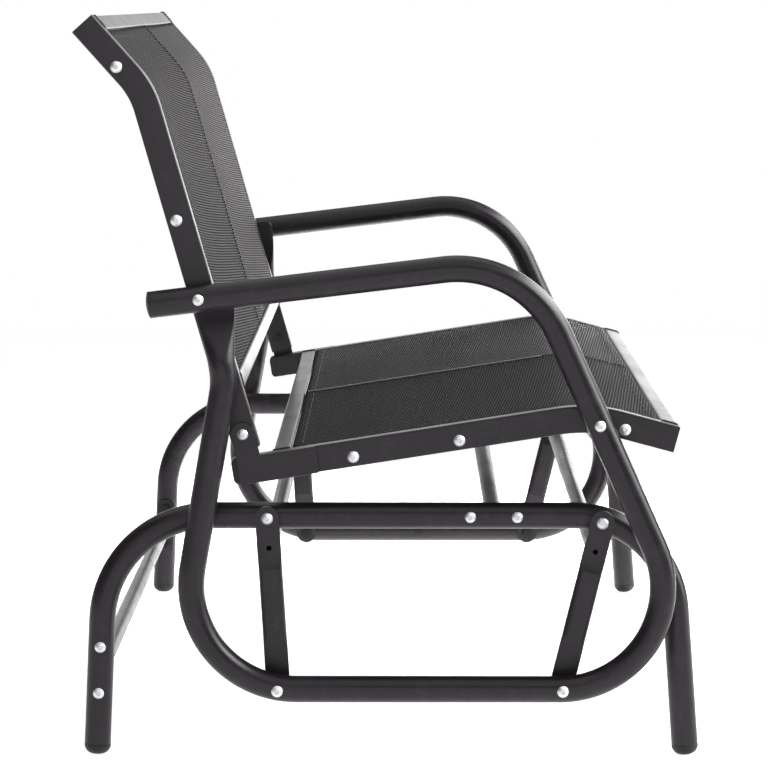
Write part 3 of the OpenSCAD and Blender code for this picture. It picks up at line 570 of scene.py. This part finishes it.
def smooth_by_angle(limit):
    """A geometry modifier that joins split corners and shades smoothly up to an angle."""
    tree = bpy.data.node_groups.new("smooth_by_angle", "GeometryNodeTree")
    for way in ("INPUT", "OUTPUT"):
        tree.interface.new_socket("Geometry", in_out=way, socket_type="NodeSocketGeometry")
    start, end = tree.nodes.new("NodeGroupInput"), tree.nodes.new("NodeGroupOutput")
    weld = tree.nodes.new("GeometryNodeMergeByDistance")
    weld.inputs["Distance"].default_value = WELD_REACH
    angle = tree.nodes.new("GeometryNodeInputMeshEdgeAngle")
    sharp = tree.nodes.new("FunctionNodeCompare")
    sharp.data_type, sharp.operation = "FLOAT", "LESS_EQUAL"
    sharp.inputs[1].default_value = limit
    faces = tree.nodes.new("GeometryNodeSetShadeSmooth")
    faces.domain = "FACE"
    edges = tree.nodes.new("GeometryNodeSetShadeSmooth")
    edges.domain = "EDGE"
    link = tree.links.new
    link(start.outputs[0], weld.inputs["Geometry"])
    link(weld.outputs[0], faces.inputs["Geometry"])
    link(faces.outputs[0], edges.inputs["Geometry"])
    link(angle.outputs["Unsigned Angle"], sharp.inputs[0])
    link(sharp.outputs[0], edges.inputs["Shade Smooth"])
    link(edges.outputs[0], end.inputs[0])
    return tree


SMOOTH = smooth_by_angle(math.radians(SMOOTH_UP_TO))
for material, names in LOOKS.items():
    for node_name in names:
        node = NODES[node_name]
        node.data.materials.clear()
        node.data.materials.append(material)
        node.modifiers.new("smooth", "NODES").node_group = SMOOTH


# Bent tubes
RING = 48
RUN_STEP = 0.012
BEND_STEP = 0.005


def tube_rings(stations, side, y0):
    """Round rings of a bent tube on one side, at y0 from the bench's middle plane."""
    rings = []
    for x, z, a, _ in stations:
        rings.append([lift(x, z, a, TUBE_R * math.cos(t), side * (y0 + TUBE_R * math.sin(t)))
                      for t in full_turn(RING)])
    return rings


def tube_uv(rings):
    """Way gone and way round, in metres, for each vertex."""
    centres = [np.mean(ring, axis=0) for ring in rings]
    steps = [np.linalg.norm(b - a) for a, b in zip(centres, centres[1:])]
    gone = np.concatenate([[0], np.cumsum(steps)])
    return [(s, TUBE_R * t) for s in gone for t in full_turn(RING)]


# The side frame's upper end: pressed flat over PRESS_LEN, it ends above the arm's bolt
PRESS_LEN = 0.070
PRESS_SWELL = PRESS_LEN + 0.006
PRESS_W = math.pi / 2 * (TUBE_D - TUBE_WALL)
PRESS_MID = PLATE_Y - PLATE_T / 2
PRESS_OVER_BOLT = TUBE_R * 0.75
PRESS_TOP = (ARM_BOLT[1] + PRESS_OVER_BOLT - NECK[1]) / math.cos(math.radians(UPRIGHT_TIP_LEAN))
PRESS_CORNER = 0.008
PRESS_SHOULDER = PRESS_TOP - PRESS_CORNER
PRESS_SQUARE = 3.5
FLARE_RINGS = 16
FLAT_RINGS = 6
CORNER_RINGS = 6


def press_steps():
    """Distances past the neck at which the pressed end has a ring."""
    steps = [PRESS_LEN * k / FLARE_RINGS for k in range(1, FLARE_RINGS + 1)]
    steps += [between(PRESS_LEN, PRESS_SHOULDER, k / FLAT_RINGS) for k in range(1, FLAT_RINGS)]
    steps += [PRESS_TOP - PRESS_CORNER * (1 - math.sin(math.pi / 2 * k / CORNER_RINGS))
              for k in range(CORNER_RINGS + 1)]
    return steps


def side_frame_tube(side, name):
    """One bent tube; its upper end is pressed flat, drawn towards the bench, and has round corners."""
    stations = walk(FRAME_PATH, FRAME_BENDS, RUN_STEP, BEND_STEP)
    rings = tube_rings(stations, side, FRAME_Y)
    x0, z0, a, _ = stations[-1]
    for d in press_steps():
        flat = ease(d / PRESS_LEN)
        half_u = between(TUBE_R, PRESS_W / 2, ease(d / PRESS_SWELL))
        half_v = between(TUBE_R, PLATE_T / 2, flat)
        into = max(0.0, d - PRESS_SHOULDER)
        half_u -= PRESS_CORNER - math.sqrt(max(0.0, PRESS_CORNER ** 2 - into ** 2))
        mid = between(FRAME_Y, PRESS_MID, flat)
        x, z = x0 + d * math.cos(a), z0 + d * math.sin(a)
        shape = superellipse(half_u, half_v, 2 + PRESS_SQUARE * flat ** 2, RING)
        rings.append([lift(x, z, a, u, side * (mid + v)) for u, v in shape])
    return finish_mesh(name, *lofted(rings), PAINT, "seat", "frame_paint", tube_uv(rings))


def base_tube(side, name):
    path = shortened(BASE_PATH, FOOT_CAP_H, FOOT_CAP_H)
    rings = tube_rings(walk(path, BASE_BENDS, RUN_STEP, BEND_STEP), side, BASE_Y)
    return finish_mesh(name, *lofted(rings), PAINT, "base", "frame_paint", tube_uv(rings))


# Foot cap: a flat spot to stand on, a round shoulder and a straight side with a broken edge
CAP_R = TUBE_R + 0.00015
CAP_TIP_R = 0.0008
CAP_FLAT_R = 0.0050
CAP_ROUND_H = 0.0108
CAP_EDGE_H = 0.0004
CAP_EDGE_R = 0.0005
CAP_ARC = 12
CAP_SIDES = 40


def foot_cap(side, foot, lean, name):
    """A round-ended cap on a base tube's end, flat where it stands."""
    profile = [(CAP_TIP_R, 0.0), (CAP_FLAT_R / 2, 0.0)]
    for k in range(CAP_ARC + 1):
        t = math.pi / 2 * k / CAP_ARC
        profile.append((between(CAP_FLAT_R, CAP_R, math.sin(t)), CAP_ROUND_H * (1 - math.cos(t))))
    profile += [(CAP_R, FOOT_CAP_H - CAP_EDGE_H), (CAP_R - CAP_EDGE_R, FOOT_CAP_H),
                (TUBE_R - TUBE_WALL, FOOT_CAP_H)]
    way = 90 - lean
    rings = []
    for r, h in profile:
        middle = along(foot, way, h)
        ring = [lift(*middle, math.radians(way), r * math.cos(t), side * BASE_Y + r * math.sin(t))
                for t in full_turn(CAP_SIDES)]
        rings.append([(x, y, max(z, 0.0)) for x, y, z in ring])
    return finish_mesh(name, *lofted(rings), PLASTIC, "base", "black_plastic")


LEGS = (("rear", REAR_FOOT, REAR_LEG_LEAN), ("front", FRONT_FOOT, -FRONT_LEG_LEAN))
for side_name, side in SIDES:
    tube = side_frame_tube(side, f"arm_tube_{side_name}")
    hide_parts(f"side_frame_{side_name}")
    tube = base_tube(side, f"base_tube_{side_name}")
    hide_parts(f"base_side_{side_name}")
    for end, foot, lean in LEGS:
        cap = foot_cap(side, foot, lean, f"foot_end_{end}_{side_name}")
        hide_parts(f"foot_{end}_{side_name}")


# Slings: sag, ripples and puckers, then the raised seam with its groove and the folded ends
rng = np.random.default_rng(7)
CENTRE_HALF = 0.011
SAG_REACH = 0.06
END_HOLD = 0.8
WAVES = 4
WAVE_LEN = 0.13
RIPPLE = 0.00035
PUCKERS = 5
PUCKER = 0.00013
PUCKER_IN = 0.012
PUCKER_REACH = 0.010
HEM_PUCKER = 0.8
RIDGE, RIDGE_REACH = 0.0016, 0.0075
GROOVE, GROOVE_REACH = 0.0013, 0.0014
END_FOLD = 0.014
FOLD_RISE = 0.0004
FOLD_EDGE = 0.001

# Columns of half a sheet: fine at the seam, wide between, fine again at the hem
SEAM_FINE, SEAM_COLUMNS = 0.008, 11
WIDE_COLUMNS = 34
HEM_FINE, HEM_COLUMNS = 0.022, 12
SLING_RUN_STEP = 0.0055
SLING_BEND_STEP = 0.0035

# The hem round the batten, and the plies that are sewn under the sheet
WRAP_R = 0.0016
FLAP = 0.015
FLAP_BEND = 0.004
PLY_GAP = 0.0002
FOLD_GAP = 0.0001
FOLD_INSET = 0.0006
FOLD_FROM = 0.0115
FOLD_SHORT = 0.004
FOLD_COLUMNS, FOLD_ROWS = 61, 4
SHEET_SHARE = 0.92
FOLD_SHARE = 0.9
SAME_PLACE = 1e-9


def sheet_columns():
    """Distances across the sheet, from edge to edge, at which it has a vertex."""
    fine_from = HEM_INNER - HEM_FINE
    right = np.concatenate([np.linspace(0.0, SEAM_FINE, SEAM_COLUMNS),
                            np.linspace(SEAM_FINE, fine_from, WIDE_COLUMNS)[1:],
                            np.linspace(fine_from, HEM_OUTER - HALF_T - WRAP_R, HEM_COLUMNS)[1:]])
    return np.concatenate([-right[:0:-1], right])


def cloth_mesh(name, verts, faces, uvs, thickness):
    obj = finish_mesh(name, verts, faces, SLING, "seat", "sling_fabric", uvs, CLOTH_EDGE)
    solid = obj.modifiers.new("cloth_thickness", "SOLIDIFY")
    solid.thickness = thickness
    solid.offset = 0.0
    return obj


class Sling:
    """A sheet held between the rails, sagging beside the centre rail, with a batten in each hem."""

    def __init__(self, path, radius, sag, bend_sag, corner_at, seed):
        self.stations = walk(path, [radius], SLING_RUN_STEP, SLING_BEND_STEP)
        self.length = self.stations[-1][3]
        self.sag, self.bend_sag, self.corner_at = sag, bend_sag, corner_at
        draw = np.random.default_rng(seed).uniform
        self.waves = [(draw(0.6, 1.4) * 2 * math.pi / WAVE_LEN, draw(0, 6.28), draw(-9, 9), draw(0.4, 1.0))
                      for _ in range(WAVES)]
        self.puckers = [(2 * math.pi / draw(0.010, 0.022), draw(0, 6.28), draw(0.5, 1.0))
                        for _ in range(PUCKERS)]

    def height(self, v, s):
        """How far the sheet's middle lies above the rails' middle plane, at v across and s along."""
        w = abs(v)
        span = min(max((w - CENTRE_HALF) / (HEM_INNER - CENTRE_HALF), 0.0), 1.0)
        slack = self.sag + self.bend_sag * bell(s - self.corner_at, SAG_REACH)
        held = math.exp(-s / SAG_REACH) + math.exp(-(self.length - s) / SAG_REACH)
        drop = slack * (1 - END_HOLD * held) * (1 - (2 * span - 1) ** 2)
        ripple = sum(k * math.sin(f * s + p + q * v) for f, p, q, k in self.waves)
        drop += RIPPLE * ripple * math.sin(math.pi * span)
        gather = sum(k * math.sin(f * s + p) for f, p, k in self.puckers)
        near_seam = bell(w - PUCKER_IN, PUCKER_REACH)
        near_hem = bell(w - (HEM_INNER - PUCKER_IN), PUCKER_REACH)
        drop += PUCKER * gather * (near_seam + HEM_PUCKER * near_hem)
        seam = RIDGE * bell(w, RIDGE_REACH) - GROOVE * bell(w, GROOVE_REACH)
        past_fold = min(s, self.length - s) - END_FOLD
        fold = FOLD_RISE * (1 - ease((past_fold + FOLD_EDGE) / (2 * FOLD_EDGE)))
        return SLING_TOP - HALF_T - drop + seam + fold

    def wrap(self, s):
        """The hem's way round its batten, from the sheet's edge down, under and up, to the sewn flap."""
        outer, inner = HEM_OUTER - HALF_T, HEM_INNER + HALF_T
        top, bottom = SLING_TOP - HALF_T, SLING_TOP - HEM_H + HALF_T
        corners = ((outer - WRAP_R, top - WRAP_R, 90), (outer - WRAP_R, bottom + WRAP_R, 0),
                   (inner + WRAP_R, bottom + WRAP_R, -90))
        points = []
        for v, u, first in corners:
            points += [along((v, u), first - 90 * k / 4, WRAP_R) for k in range(5)]
        under = top - SLING_T - PLY_GAP
        points.append((inner, under - FLAP_BEND))
        points += [along((inner - WRAP_R, under - WRAP_R), deg, WRAP_R) for deg in (30, 60, 90)]
        for k in range(1, 4):
            v = inner - WRAP_R - FLAP * k / 3
            points.append((v, self.height(v, s) - SLING_T - PLY_GAP))
        return points

    def mesh(self, name):
        """The sheet with both hems; the texture runs along and across the cut cloth."""
        columns = sheet_columns()
        verts, uvs = [], []
        for x, z, a, s in self.stations:
            hem = self.wrap(s)
            line = [(-v, u) for v, u in reversed(hem)] + [(v, self.height(v, s)) for v in columns] + hem
            steps = [math.dist(p, q) for p, q in zip(line, line[1:])]
            across = np.concatenate([[0], np.cumsum(steps)])
            across -= across[len(across) // 2]
            verts += [lift(x, z, a, u, v) for v, u in line]
            uvs += [(s, c) for c in across]
        self.cut = (across[-1] - across[0], self.length)
        faces = grid_faces(len(self.stations), len(line))
        return cloth_mesh(name, verts, faces, uvs, SLING_T * SHEET_SHARE)

    def place(self, v, s, above=0.0):
        """The point over the sheet's upper face at v across and s along."""
        stations = self.stations
        low = max(i for i, station in enumerate(stations) if station[3] <= s + SAME_PLACE)
        high = min(low + 1, len(stations) - 1)
        a, b = stations[low], stations[high]
        t = 0.0 if high == low else (s - a[3]) / (b[3] - a[3])
        x, z, way = (between(a[k], b[k], t) for k in range(3))
        return Vector(lift(x, z, way, self.height(v, s) + HALF_T + above, v))

    def end_folds(self, name):
        """The sheet's ends, folded under it and sewn, on each side of the centre rail."""
        reach = HEM_INNER - FLAP - FOLD_SHORT
        columns = [v for v in np.linspace(-reach, reach, FOLD_COLUMNS) if abs(v) > FOLD_FROM]
        ends = ((FOLD_INSET, END_FOLD), (self.length - END_FOLD, self.length - FOLD_INSET))
        parts, uvs = [], []
        for s_from, s_to in ends:
            for sign in (-1, 1):
                half = [v for v in columns if v * sign > 0]
                verts = []
                for k in range(FOLD_ROWS + 1):
                    s = between(s_from, s_to, k / FOLD_ROWS)
                    verts += [tuple(self.place(v, s, -2 * SLING_T - FOLD_GAP)) for v in half]
                    uvs += [(s, v) for v in half]
                parts.append((verts, grid_faces(FOLD_ROWS + 1, len(half))))
        verts, faces = merge(parts)
        return cloth_mesh(name, verts, faces, uvs, SLING_T * FOLD_SHARE)


# Stitches: how far along one, how high in thread radii and how thick its thread is
STITCH = 0.0036
STITCH_GAP = 0.0016
STITCH_FROM = 0.15
STITCH_UNEVEN = 0.04
STITCH_SWAY = 0.00012
ABOVE = 0.001
THREAD_R = 0.00042
THREAD_SIDES = 6
STITCH_FORM = ((0.0, -0.9, 0.5), (0.12, 0.25, 0.95), (0.3, 0.75, 1.0), (0.7, 0.75, 1.0),
               (0.88, 0.25, 0.95), (1.0, -0.9, 0.5))


def ring_round(centre, side, up, r, count, flatness=1.0):
    """A ring of points round a thread, cord or bead."""
    return [tuple(centre + side * (r * math.cos(t)) + up * (r * flatness * math.sin(t)))
            for t in full_turn(count)]


def stitch_part(a, b, up):
    """One stitch: a thread that rises from the cloth, lies on it and dips in again."""
    way = (b - a).normalized()
    side = way.cross(up).normalized()
    rings = []
    for t, high, thick in STITCH_FORM:
        centre = a.lerp(b, t) + up * (THREAD_R * high)
        rings.append(ring_round(centre, side, up, THREAD_R * thick, THREAD_SIDES))
    return lofted(rings)


def sew(sling, lines, name, thread):
    """Stitches along lines on a sling, each from one (across, along) to another."""
    parts = []
    for (v0, s0), (v1, s1) in lines:
        length = math.dist((v0, s0), (v1, s1))
        count = int(length / (STITCH + STITCH_GAP))
        for k in range(count):
            t0 = (k + STITCH_FROM + rng.uniform(-STITCH_UNEVEN, STITCH_UNEVEN)) / count
            t1 = t0 + STITCH / length
            if t1 > 1:
                continue
            sway = rng.uniform(-STITCH_SWAY, STITCH_SWAY)
            a = sling.place(between(v0, v1, t0) + sway, between(s0, s1, t0))
            b = sling.place(between(v0, v1, t1) + sway, between(s0, s1, t1))
            over = sling.place(between(v0, v1, t0), between(s0, s1, t0), ABOVE)
            parts.append(stitch_part(a, b, (over - a).normalized()))
    return finish_mesh(name, *merge(parts), thread, "seat", "sling_fabric", sharp=BEAD_EDGE)


# Welt: a cord drawn in once in every four rings
WELT_R = 0.0009
WELT_STEP = 0.0013
WELT_PULL = 0.10
WELT_SIDES = 8
ACROSS = Vector((0, 1, 0))
UPWARD = Vector((0, 0, 1))


def welt(sling, v, s_from, s_to, name):
    """A thin pale cord sewn along a seam, pulled in a little at each stitch."""
    count = int((s_to - s_from) / WELT_STEP)
    rings = []
    for k in range(count + 1):
        centre = sling.place(v, between(s_from, s_to, k / count), WELT_R / 2)
        r = WELT_R * (1 - WELT_PULL + WELT_PULL * math.cos(math.pi / 2 * k))
        rings.append(ring_round(centre, ACROSS, UPWARD, r, WELT_SIDES))
    return finish_mesh(name, *lofted(rings), WELT_THREAD, "seat", "sling_fabric", sharp=BEAD_EDGE)


# Where the stitches run: two lines by the middle seam, one by each hem and one at each end fold
SEAM_V = 0.0045
WELT_V = -0.0040
WELT_FROM = 0.003
WELT_BEFORE_BEND = 0.030
LINE_INSET = 0.004
HEM_LINE_V = HEM_INNER - 0.004
FOLD_LINE_S = 0.0105
FOLD_LINE_FROM = 0.012
FOLD_LINE_TO = HEM_INNER - 0.014
SEAT_BEND_AT = math.dist(SEAT_SLING_PATH[0], SEAT_CORNER)
BACK_BEND_AT = math.dist(BACK_SLING_PATH[0], BACK_CORNER)
SLINGS = {
    "seat": Sling(SEAT_SLING_PATH, SEAT_BEND, sag=0.0055, bend_sag=0.0020, corner_at=SEAT_BEND_AT, seed=11),
    "back": Sling(BACK_SLING_PATH, BACK_BEND, sag=0.0065, bend_sag=0.0025, corner_at=BACK_BEND_AT, seed=23),
}
for word, sling in SLINGS.items():
    cloth = sling.mesh(f"{word}_cloth")
    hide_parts(f"{word}_sling")
    trim = [sling.end_folds(f"{word}_cloth_end_folds")]
    line_end = sling.length - LINE_INSET
    seam_from = SEAT_BEND_AT - WELT_BEFORE_BEND if word == "seat" else LINE_INSET
    seam = [((v, seam_from), (v, line_end)) for v in (-SEAM_V, SEAM_V)]
    trim.append(sew(sling, seam, f"{word}_seam_stitches", THREAD))
    hem = [((sign * HEM_LINE_V, LINE_INSET), (sign * HEM_LINE_V, line_end)) for sign in (-1, 1)]
    hem += [((sign * FOLD_LINE_FROM, s), (sign * FOLD_LINE_TO, s))
            for sign in (-1, 1) for s in (FOLD_LINE_S, sling.length - FOLD_LINE_S)]
    trim.append(sew(sling, hem, f"{word}_hem_stitches", HEM_THREAD if word == "seat" else THREAD))
    if word == "seat":
        trim.append(welt(sling, WELT_V, WELT_FROM, seam_from, "seat_seam_welt"))


# Welds
WELD_R = 0.0017
TIE_WELD_R = 0.0012
BRACKET_WELD_R = 0.0014
BEAD_SIDES = 8
BEAD_FLATNESS = 0.8
BEAD_STEP = 0.0011
PASS_LEN = 0.0026
PASS_RIPPLE = 0.16
PASS_UNEVEN = 0.07


def bead(points, radius=WELD_R):
    """A closed weld bead along points, with the ripples of its passes."""
    points = [Vector(p) for p in points]
    gone, rings = 0.0, []
    for i, p in enumerate(points):
        before, after = points[i - 1], points[(i + 1) % len(points)]
        way = (after - before).normalized()
        side = way.cross(ACROSS).normalized()
        up = side.cross(way).normalized()
        gone += (p - before).length
        ripple = PASS_RIPPLE * math.sin(2 * math.pi * gone / PASS_LEN)
        r = radius * (1 + ripple + rng.uniform(-PASS_UNEVEN, PASS_UNEVEN))
        rings.append(ring_round(p, side, up, r, BEAD_SIDES, BEAD_FLATNESS))
    faces = grid_faces(len(rings), BEAD_SIDES, round_rows=True, round_columns=True)
    return [v for ring in rings for v in ring], faces


def box_loop(p, deg, y):
    """Points round a box bar's end, which is a rounded square in the side view."""
    inset = BAR_W / 2 - BOX_CORNER
    corners = ((inset, inset, 0), (-inset, inset, 90), (-inset, -inset, 180), (inset, -inset, 270))
    outline = [along((w, u), first + 30 * k, BOX_CORNER) for w, u, first in corners for k in range(4)]
    points = []
    for (w0, u0), (w1, u1) in zip(outline, outline[1:] + outline[:1]):
        count = max(1, round(math.dist((w0, u0), (w1, u1)) / BEAD_STEP))
        points += [(between(w0, w1, j / count), between(u0, u1, j / count)) for j in range(count)]
    return [lift(*along(p, deg, w), math.radians(deg), u, y) for w, u in points]


def round_loop(p, y):
    """Points round a cross tube's end, which is a circle in the side view."""
    radius = CROSS_TUBE_R + SEAT_GAP
    count = round(2 * math.pi * radius / BEAD_STEP)
    return [(p[0] + SHIFT_X + radius * math.cos(t), y, p[1] + radius * math.sin(t))
            for t in full_turn(count)]


BRACKET_FROM = 0.008
BRACKET_TO = 0.082
BRACKET_POINTS = 64
BRACKET_BELOW = RAIL_H / 2 - 0.0003
BRACKET_BACK = 0.0004


def bracket_loop(side):
    """Points along the seat rail's lower edge, where its bracket is welded on, and back again."""
    line = []
    for s in np.linspace(BRACKET_FROM, BRACKET_TO, BRACKET_POINTS):
        x, z = along(along(SEAT_START, SEAT_SLOPE, s), SEAT_SLOPE - 90, BRACKET_BELOW)
        line.append((x + SHIFT_X, side * RAIL_OUTER_Y, z))
    return line + [(x, y - side * BRACKET_BACK, z) for x, y, z in reversed(line[1:-1])]


def weld_mesh(name, parts, body):
    return finish_mesh(name, *merge(parts), WELD, body, "frame_paint", sharp=BEAD_EDGE)


HALF_BAR = BAR_W / 2
BARS = [(along(SEAT_END, 180 - SEAT_DROP, HALF_BAR), -SEAT_DROP),
        (along(SEAT_START, SEAT_SLOPE, SEAT_REAR_BAR_AT + HALF_BAR), SEAT_SLOPE),
        (along(BACK_TOP, HEAD_LEAN - 90, HALF_BAR), HEAD_LEAN - 90),
        (along(BACK_BOTTOM, 90 + BACK_LEAN, BACK_LOWER_BAR_AT + HALF_BAR), BACK_LEAN - 90)]
REAR_CROSS = along(REAR_FOOT, 90 - REAR_LEG_LEAN, REAR_CROSS_Z / math.cos(math.radians(REAR_LEG_LEAN)))
CROSS_WELD_Y = BASE_Y - TUBE_R - SEAT_GAP - CROSS_PLATE_T
TIE_WELD_Y = LINK_Y - LINK_FLAT / 2
LINKS = (("rear", REAR_TOP, REAR_LOW), ("front", FRONT_TOP, FRONT_LOW))
for side_name, side in SIDES:
    bar_ends = [(along(p, deg + 90, RAIL_H / 2 - HALF_BAR), deg) for p, deg in BARS]
    beads = [bead(box_loop(p, deg, side * RAIL_INNER_Y)) for p, deg in bar_ends]
    weld_mesh(f"bar_weld_beads_{side_name}", beads, "seat")
    cross_ends = ((MID_CROSS_X, BASE_RAIL_Z), REAR_CROSS)
    beads = [bead(round_loop(p, side * CROSS_WELD_Y)) for p in cross_ends]
    weld_mesh(f"base_weld_beads_{side_name}", beads, "base")
    for end, top, low in LINKS:
        p = along(top, heading(top, low), TIE_DROP)
        tie_bead = bead(round_loop(p, side * TIE_WELD_Y), TIE_WELD_R)
        weld_mesh(f"{end}_tie_weld_beads_{side_name}", [tie_bead], f"{end}_links")
    bracket_bead = bead(bracket_loop(side), BRACKET_WELD_R)
    weld_mesh(f"bracket_weld_bead_{side_name}", [bracket_bead], "seat")


# Stage: a white floor that glows like the photo's background, and a white world behind it
FLOOR_GLOW = 0.90
FLOOR_X, FLOOR_BACK, FLOOR_FRONT, FLOOR_Z = 7.0, 4.6, -7.0, -0.0005
AMBIENT = 0.09
WHITE = (1.0, 1.0, 1.0, 1.0)


def floor_material():
    g = Graph("studio_floor")
    tone = g.blend(g.noise(g.place(), scale=0.6), grey(0.86), grey(0.90))
    return g.set(Base_Color=tone, Roughness=0.95, Specular_IOR_Level=0.0, Emission_Color=WHITE,
                 Emission_Strength=FLOOR_GLOW)


floor_mesh = bpy.data.meshes.new("floor")
floor_mesh.from_pydata([(-FLOOR_X, FLOOR_FRONT, FLOOR_Z), (FLOOR_X, FLOOR_FRONT, FLOOR_Z),
                        (FLOOR_X, FLOOR_BACK, FLOOR_Z), (-FLOOR_X, FLOOR_BACK, FLOOR_Z)],
                       [], [(0, 1, 2, 3)])
floor_mesh.materials.append(floor_material())
floor = bpy.data.objects.new("floor", floor_mesh)
bpy.context.scene.collection.objects.link(floor)

world = bpy.data.worlds.new("studio")
world.use_nodes = True
tree = world.node_tree
tree.nodes.clear()
out = tree.nodes.new("ShaderNodeOutputWorld")
mix = tree.nodes.new("ShaderNodeMixShader")
path = tree.nodes.new("ShaderNodeLightPath")
tree.links.new(path.outputs["Is Camera Ray"], mix.inputs[0])
for socket, strength in ((1, AMBIENT), (2, 1.0)):
    background = tree.nodes.new("ShaderNodeBackground")
    background.inputs["Color"].default_value = WHITE
    background.inputs["Strength"].default_value = strength
    tree.links.new(background.outputs[0], mix.inputs[socket])
tree.links.new(mix.outputs[0], out.inputs["Surface"])
bpy.context.scene.world = world

# Lights, which all look at the bench's middle: name, place, size, watts and what they reach
MIDDLE = Vector((0.0, 0.0, 0.40))


def area_light(name, place, size, power, diffuse=True, glossy=True):
    light = bpy.data.lights.new(name, "AREA")
    light.shape = "RECTANGLE"
    light.size, light.size_y = size
    light.energy = power
    obj = bpy.data.objects.new(name, light)
    obj.location = place
    obj.rotation_mode = "QUATERNION"
    obj.rotation_quaternion = (MIDDLE - Vector(place)).to_track_quat("-Z", "Y")
    bpy.context.scene.collection.objects.link(obj)
    obj.visible_camera, obj.visible_diffuse, obj.visible_glossy = False, diffuse, glossy


area_light("key_front", (0.70, 1.45, 0.75), (0.9, 0.9), 72, glossy=False)
area_light("edge_right", (4.2, -0.1, 0.95), (1.6, 1.7), 46)
area_light("side_shine", (4.1, -0.4, 2.05), (3.4, 1.1), 90, diffuse=False)
area_light("bend_shine", (3.3, -0.2, 3.1), (5.4, 1.8), 440, diffuse=False)
area_light("corner_shine", (3.0, 4.4, 2.3), (2.6, 2.2), 95, diffuse=False)
area_light("over_shine", (-0.4, 0.6, 4.3), (4.5, 5.0), 90, diffuse=False)
area_light("back_shine_wide", (0.0, 5.3, 1.1), (7.0, 3.0), 72, diffuse=False)
area_light("back_shine_low", (0.9, 5.3, 0.0), (2.2, 0.9), 12.5, diffuse=False)
area_light("front_bar_shine", (1.4, 5.2, 0.75), (1.3, 0.9), 8.5, diffuse=False)
area_light("front_top_shine", (-0.2, -3.0, 3.5), (3.4, 1.9), 24, diffuse=False)
area_light("fill_camera", (-1.6, -4.8, 1.6), (3.2, 2.4), 20)
area_light("card_camera", (0.6, -5.2, 0.9), (2.2, 1.6), 14, diffuse=False)
area_light("top", (0.0, 0.0, 3.8), (4.2, 3.2), 4)

# Camera, as worked out from the photo
FOCAL_PX, IMAGE_PX, SENSOR = 3470.0, 768.0, 36.0
CAMERA_AT = (0.01499 + SHIFT_X, -4.44139, 0.85465)
YAW, PITCH = math.radians(0.340), math.radians(6.3067)
camera_data = bpy.data.cameras.new("camera")
camera_data.sensor_width = SENSOR
camera_data.lens = FOCAL_PX / IMAGE_PX * SENSOR
camera_data.clip_start = 0.05
camera_data.clip_end = 200.0
camera = bpy.data.objects.new("camera", camera_data)
forward = Vector((-math.sin(YAW) * math.cos(PITCH), math.cos(YAW) * math.cos(PITCH), -math.sin(PITCH)))
camera.location = CAMERA_AT
camera.rotation_mode = "QUATERNION"
camera.rotation_quaternion = forward.to_track_quat("-Z", "Y")
bpy.context.scene.collection.objects.link(camera)
bpy.context.scene.camera = camera
bpy.context.scene.view_settings.view_transform = "Standard"
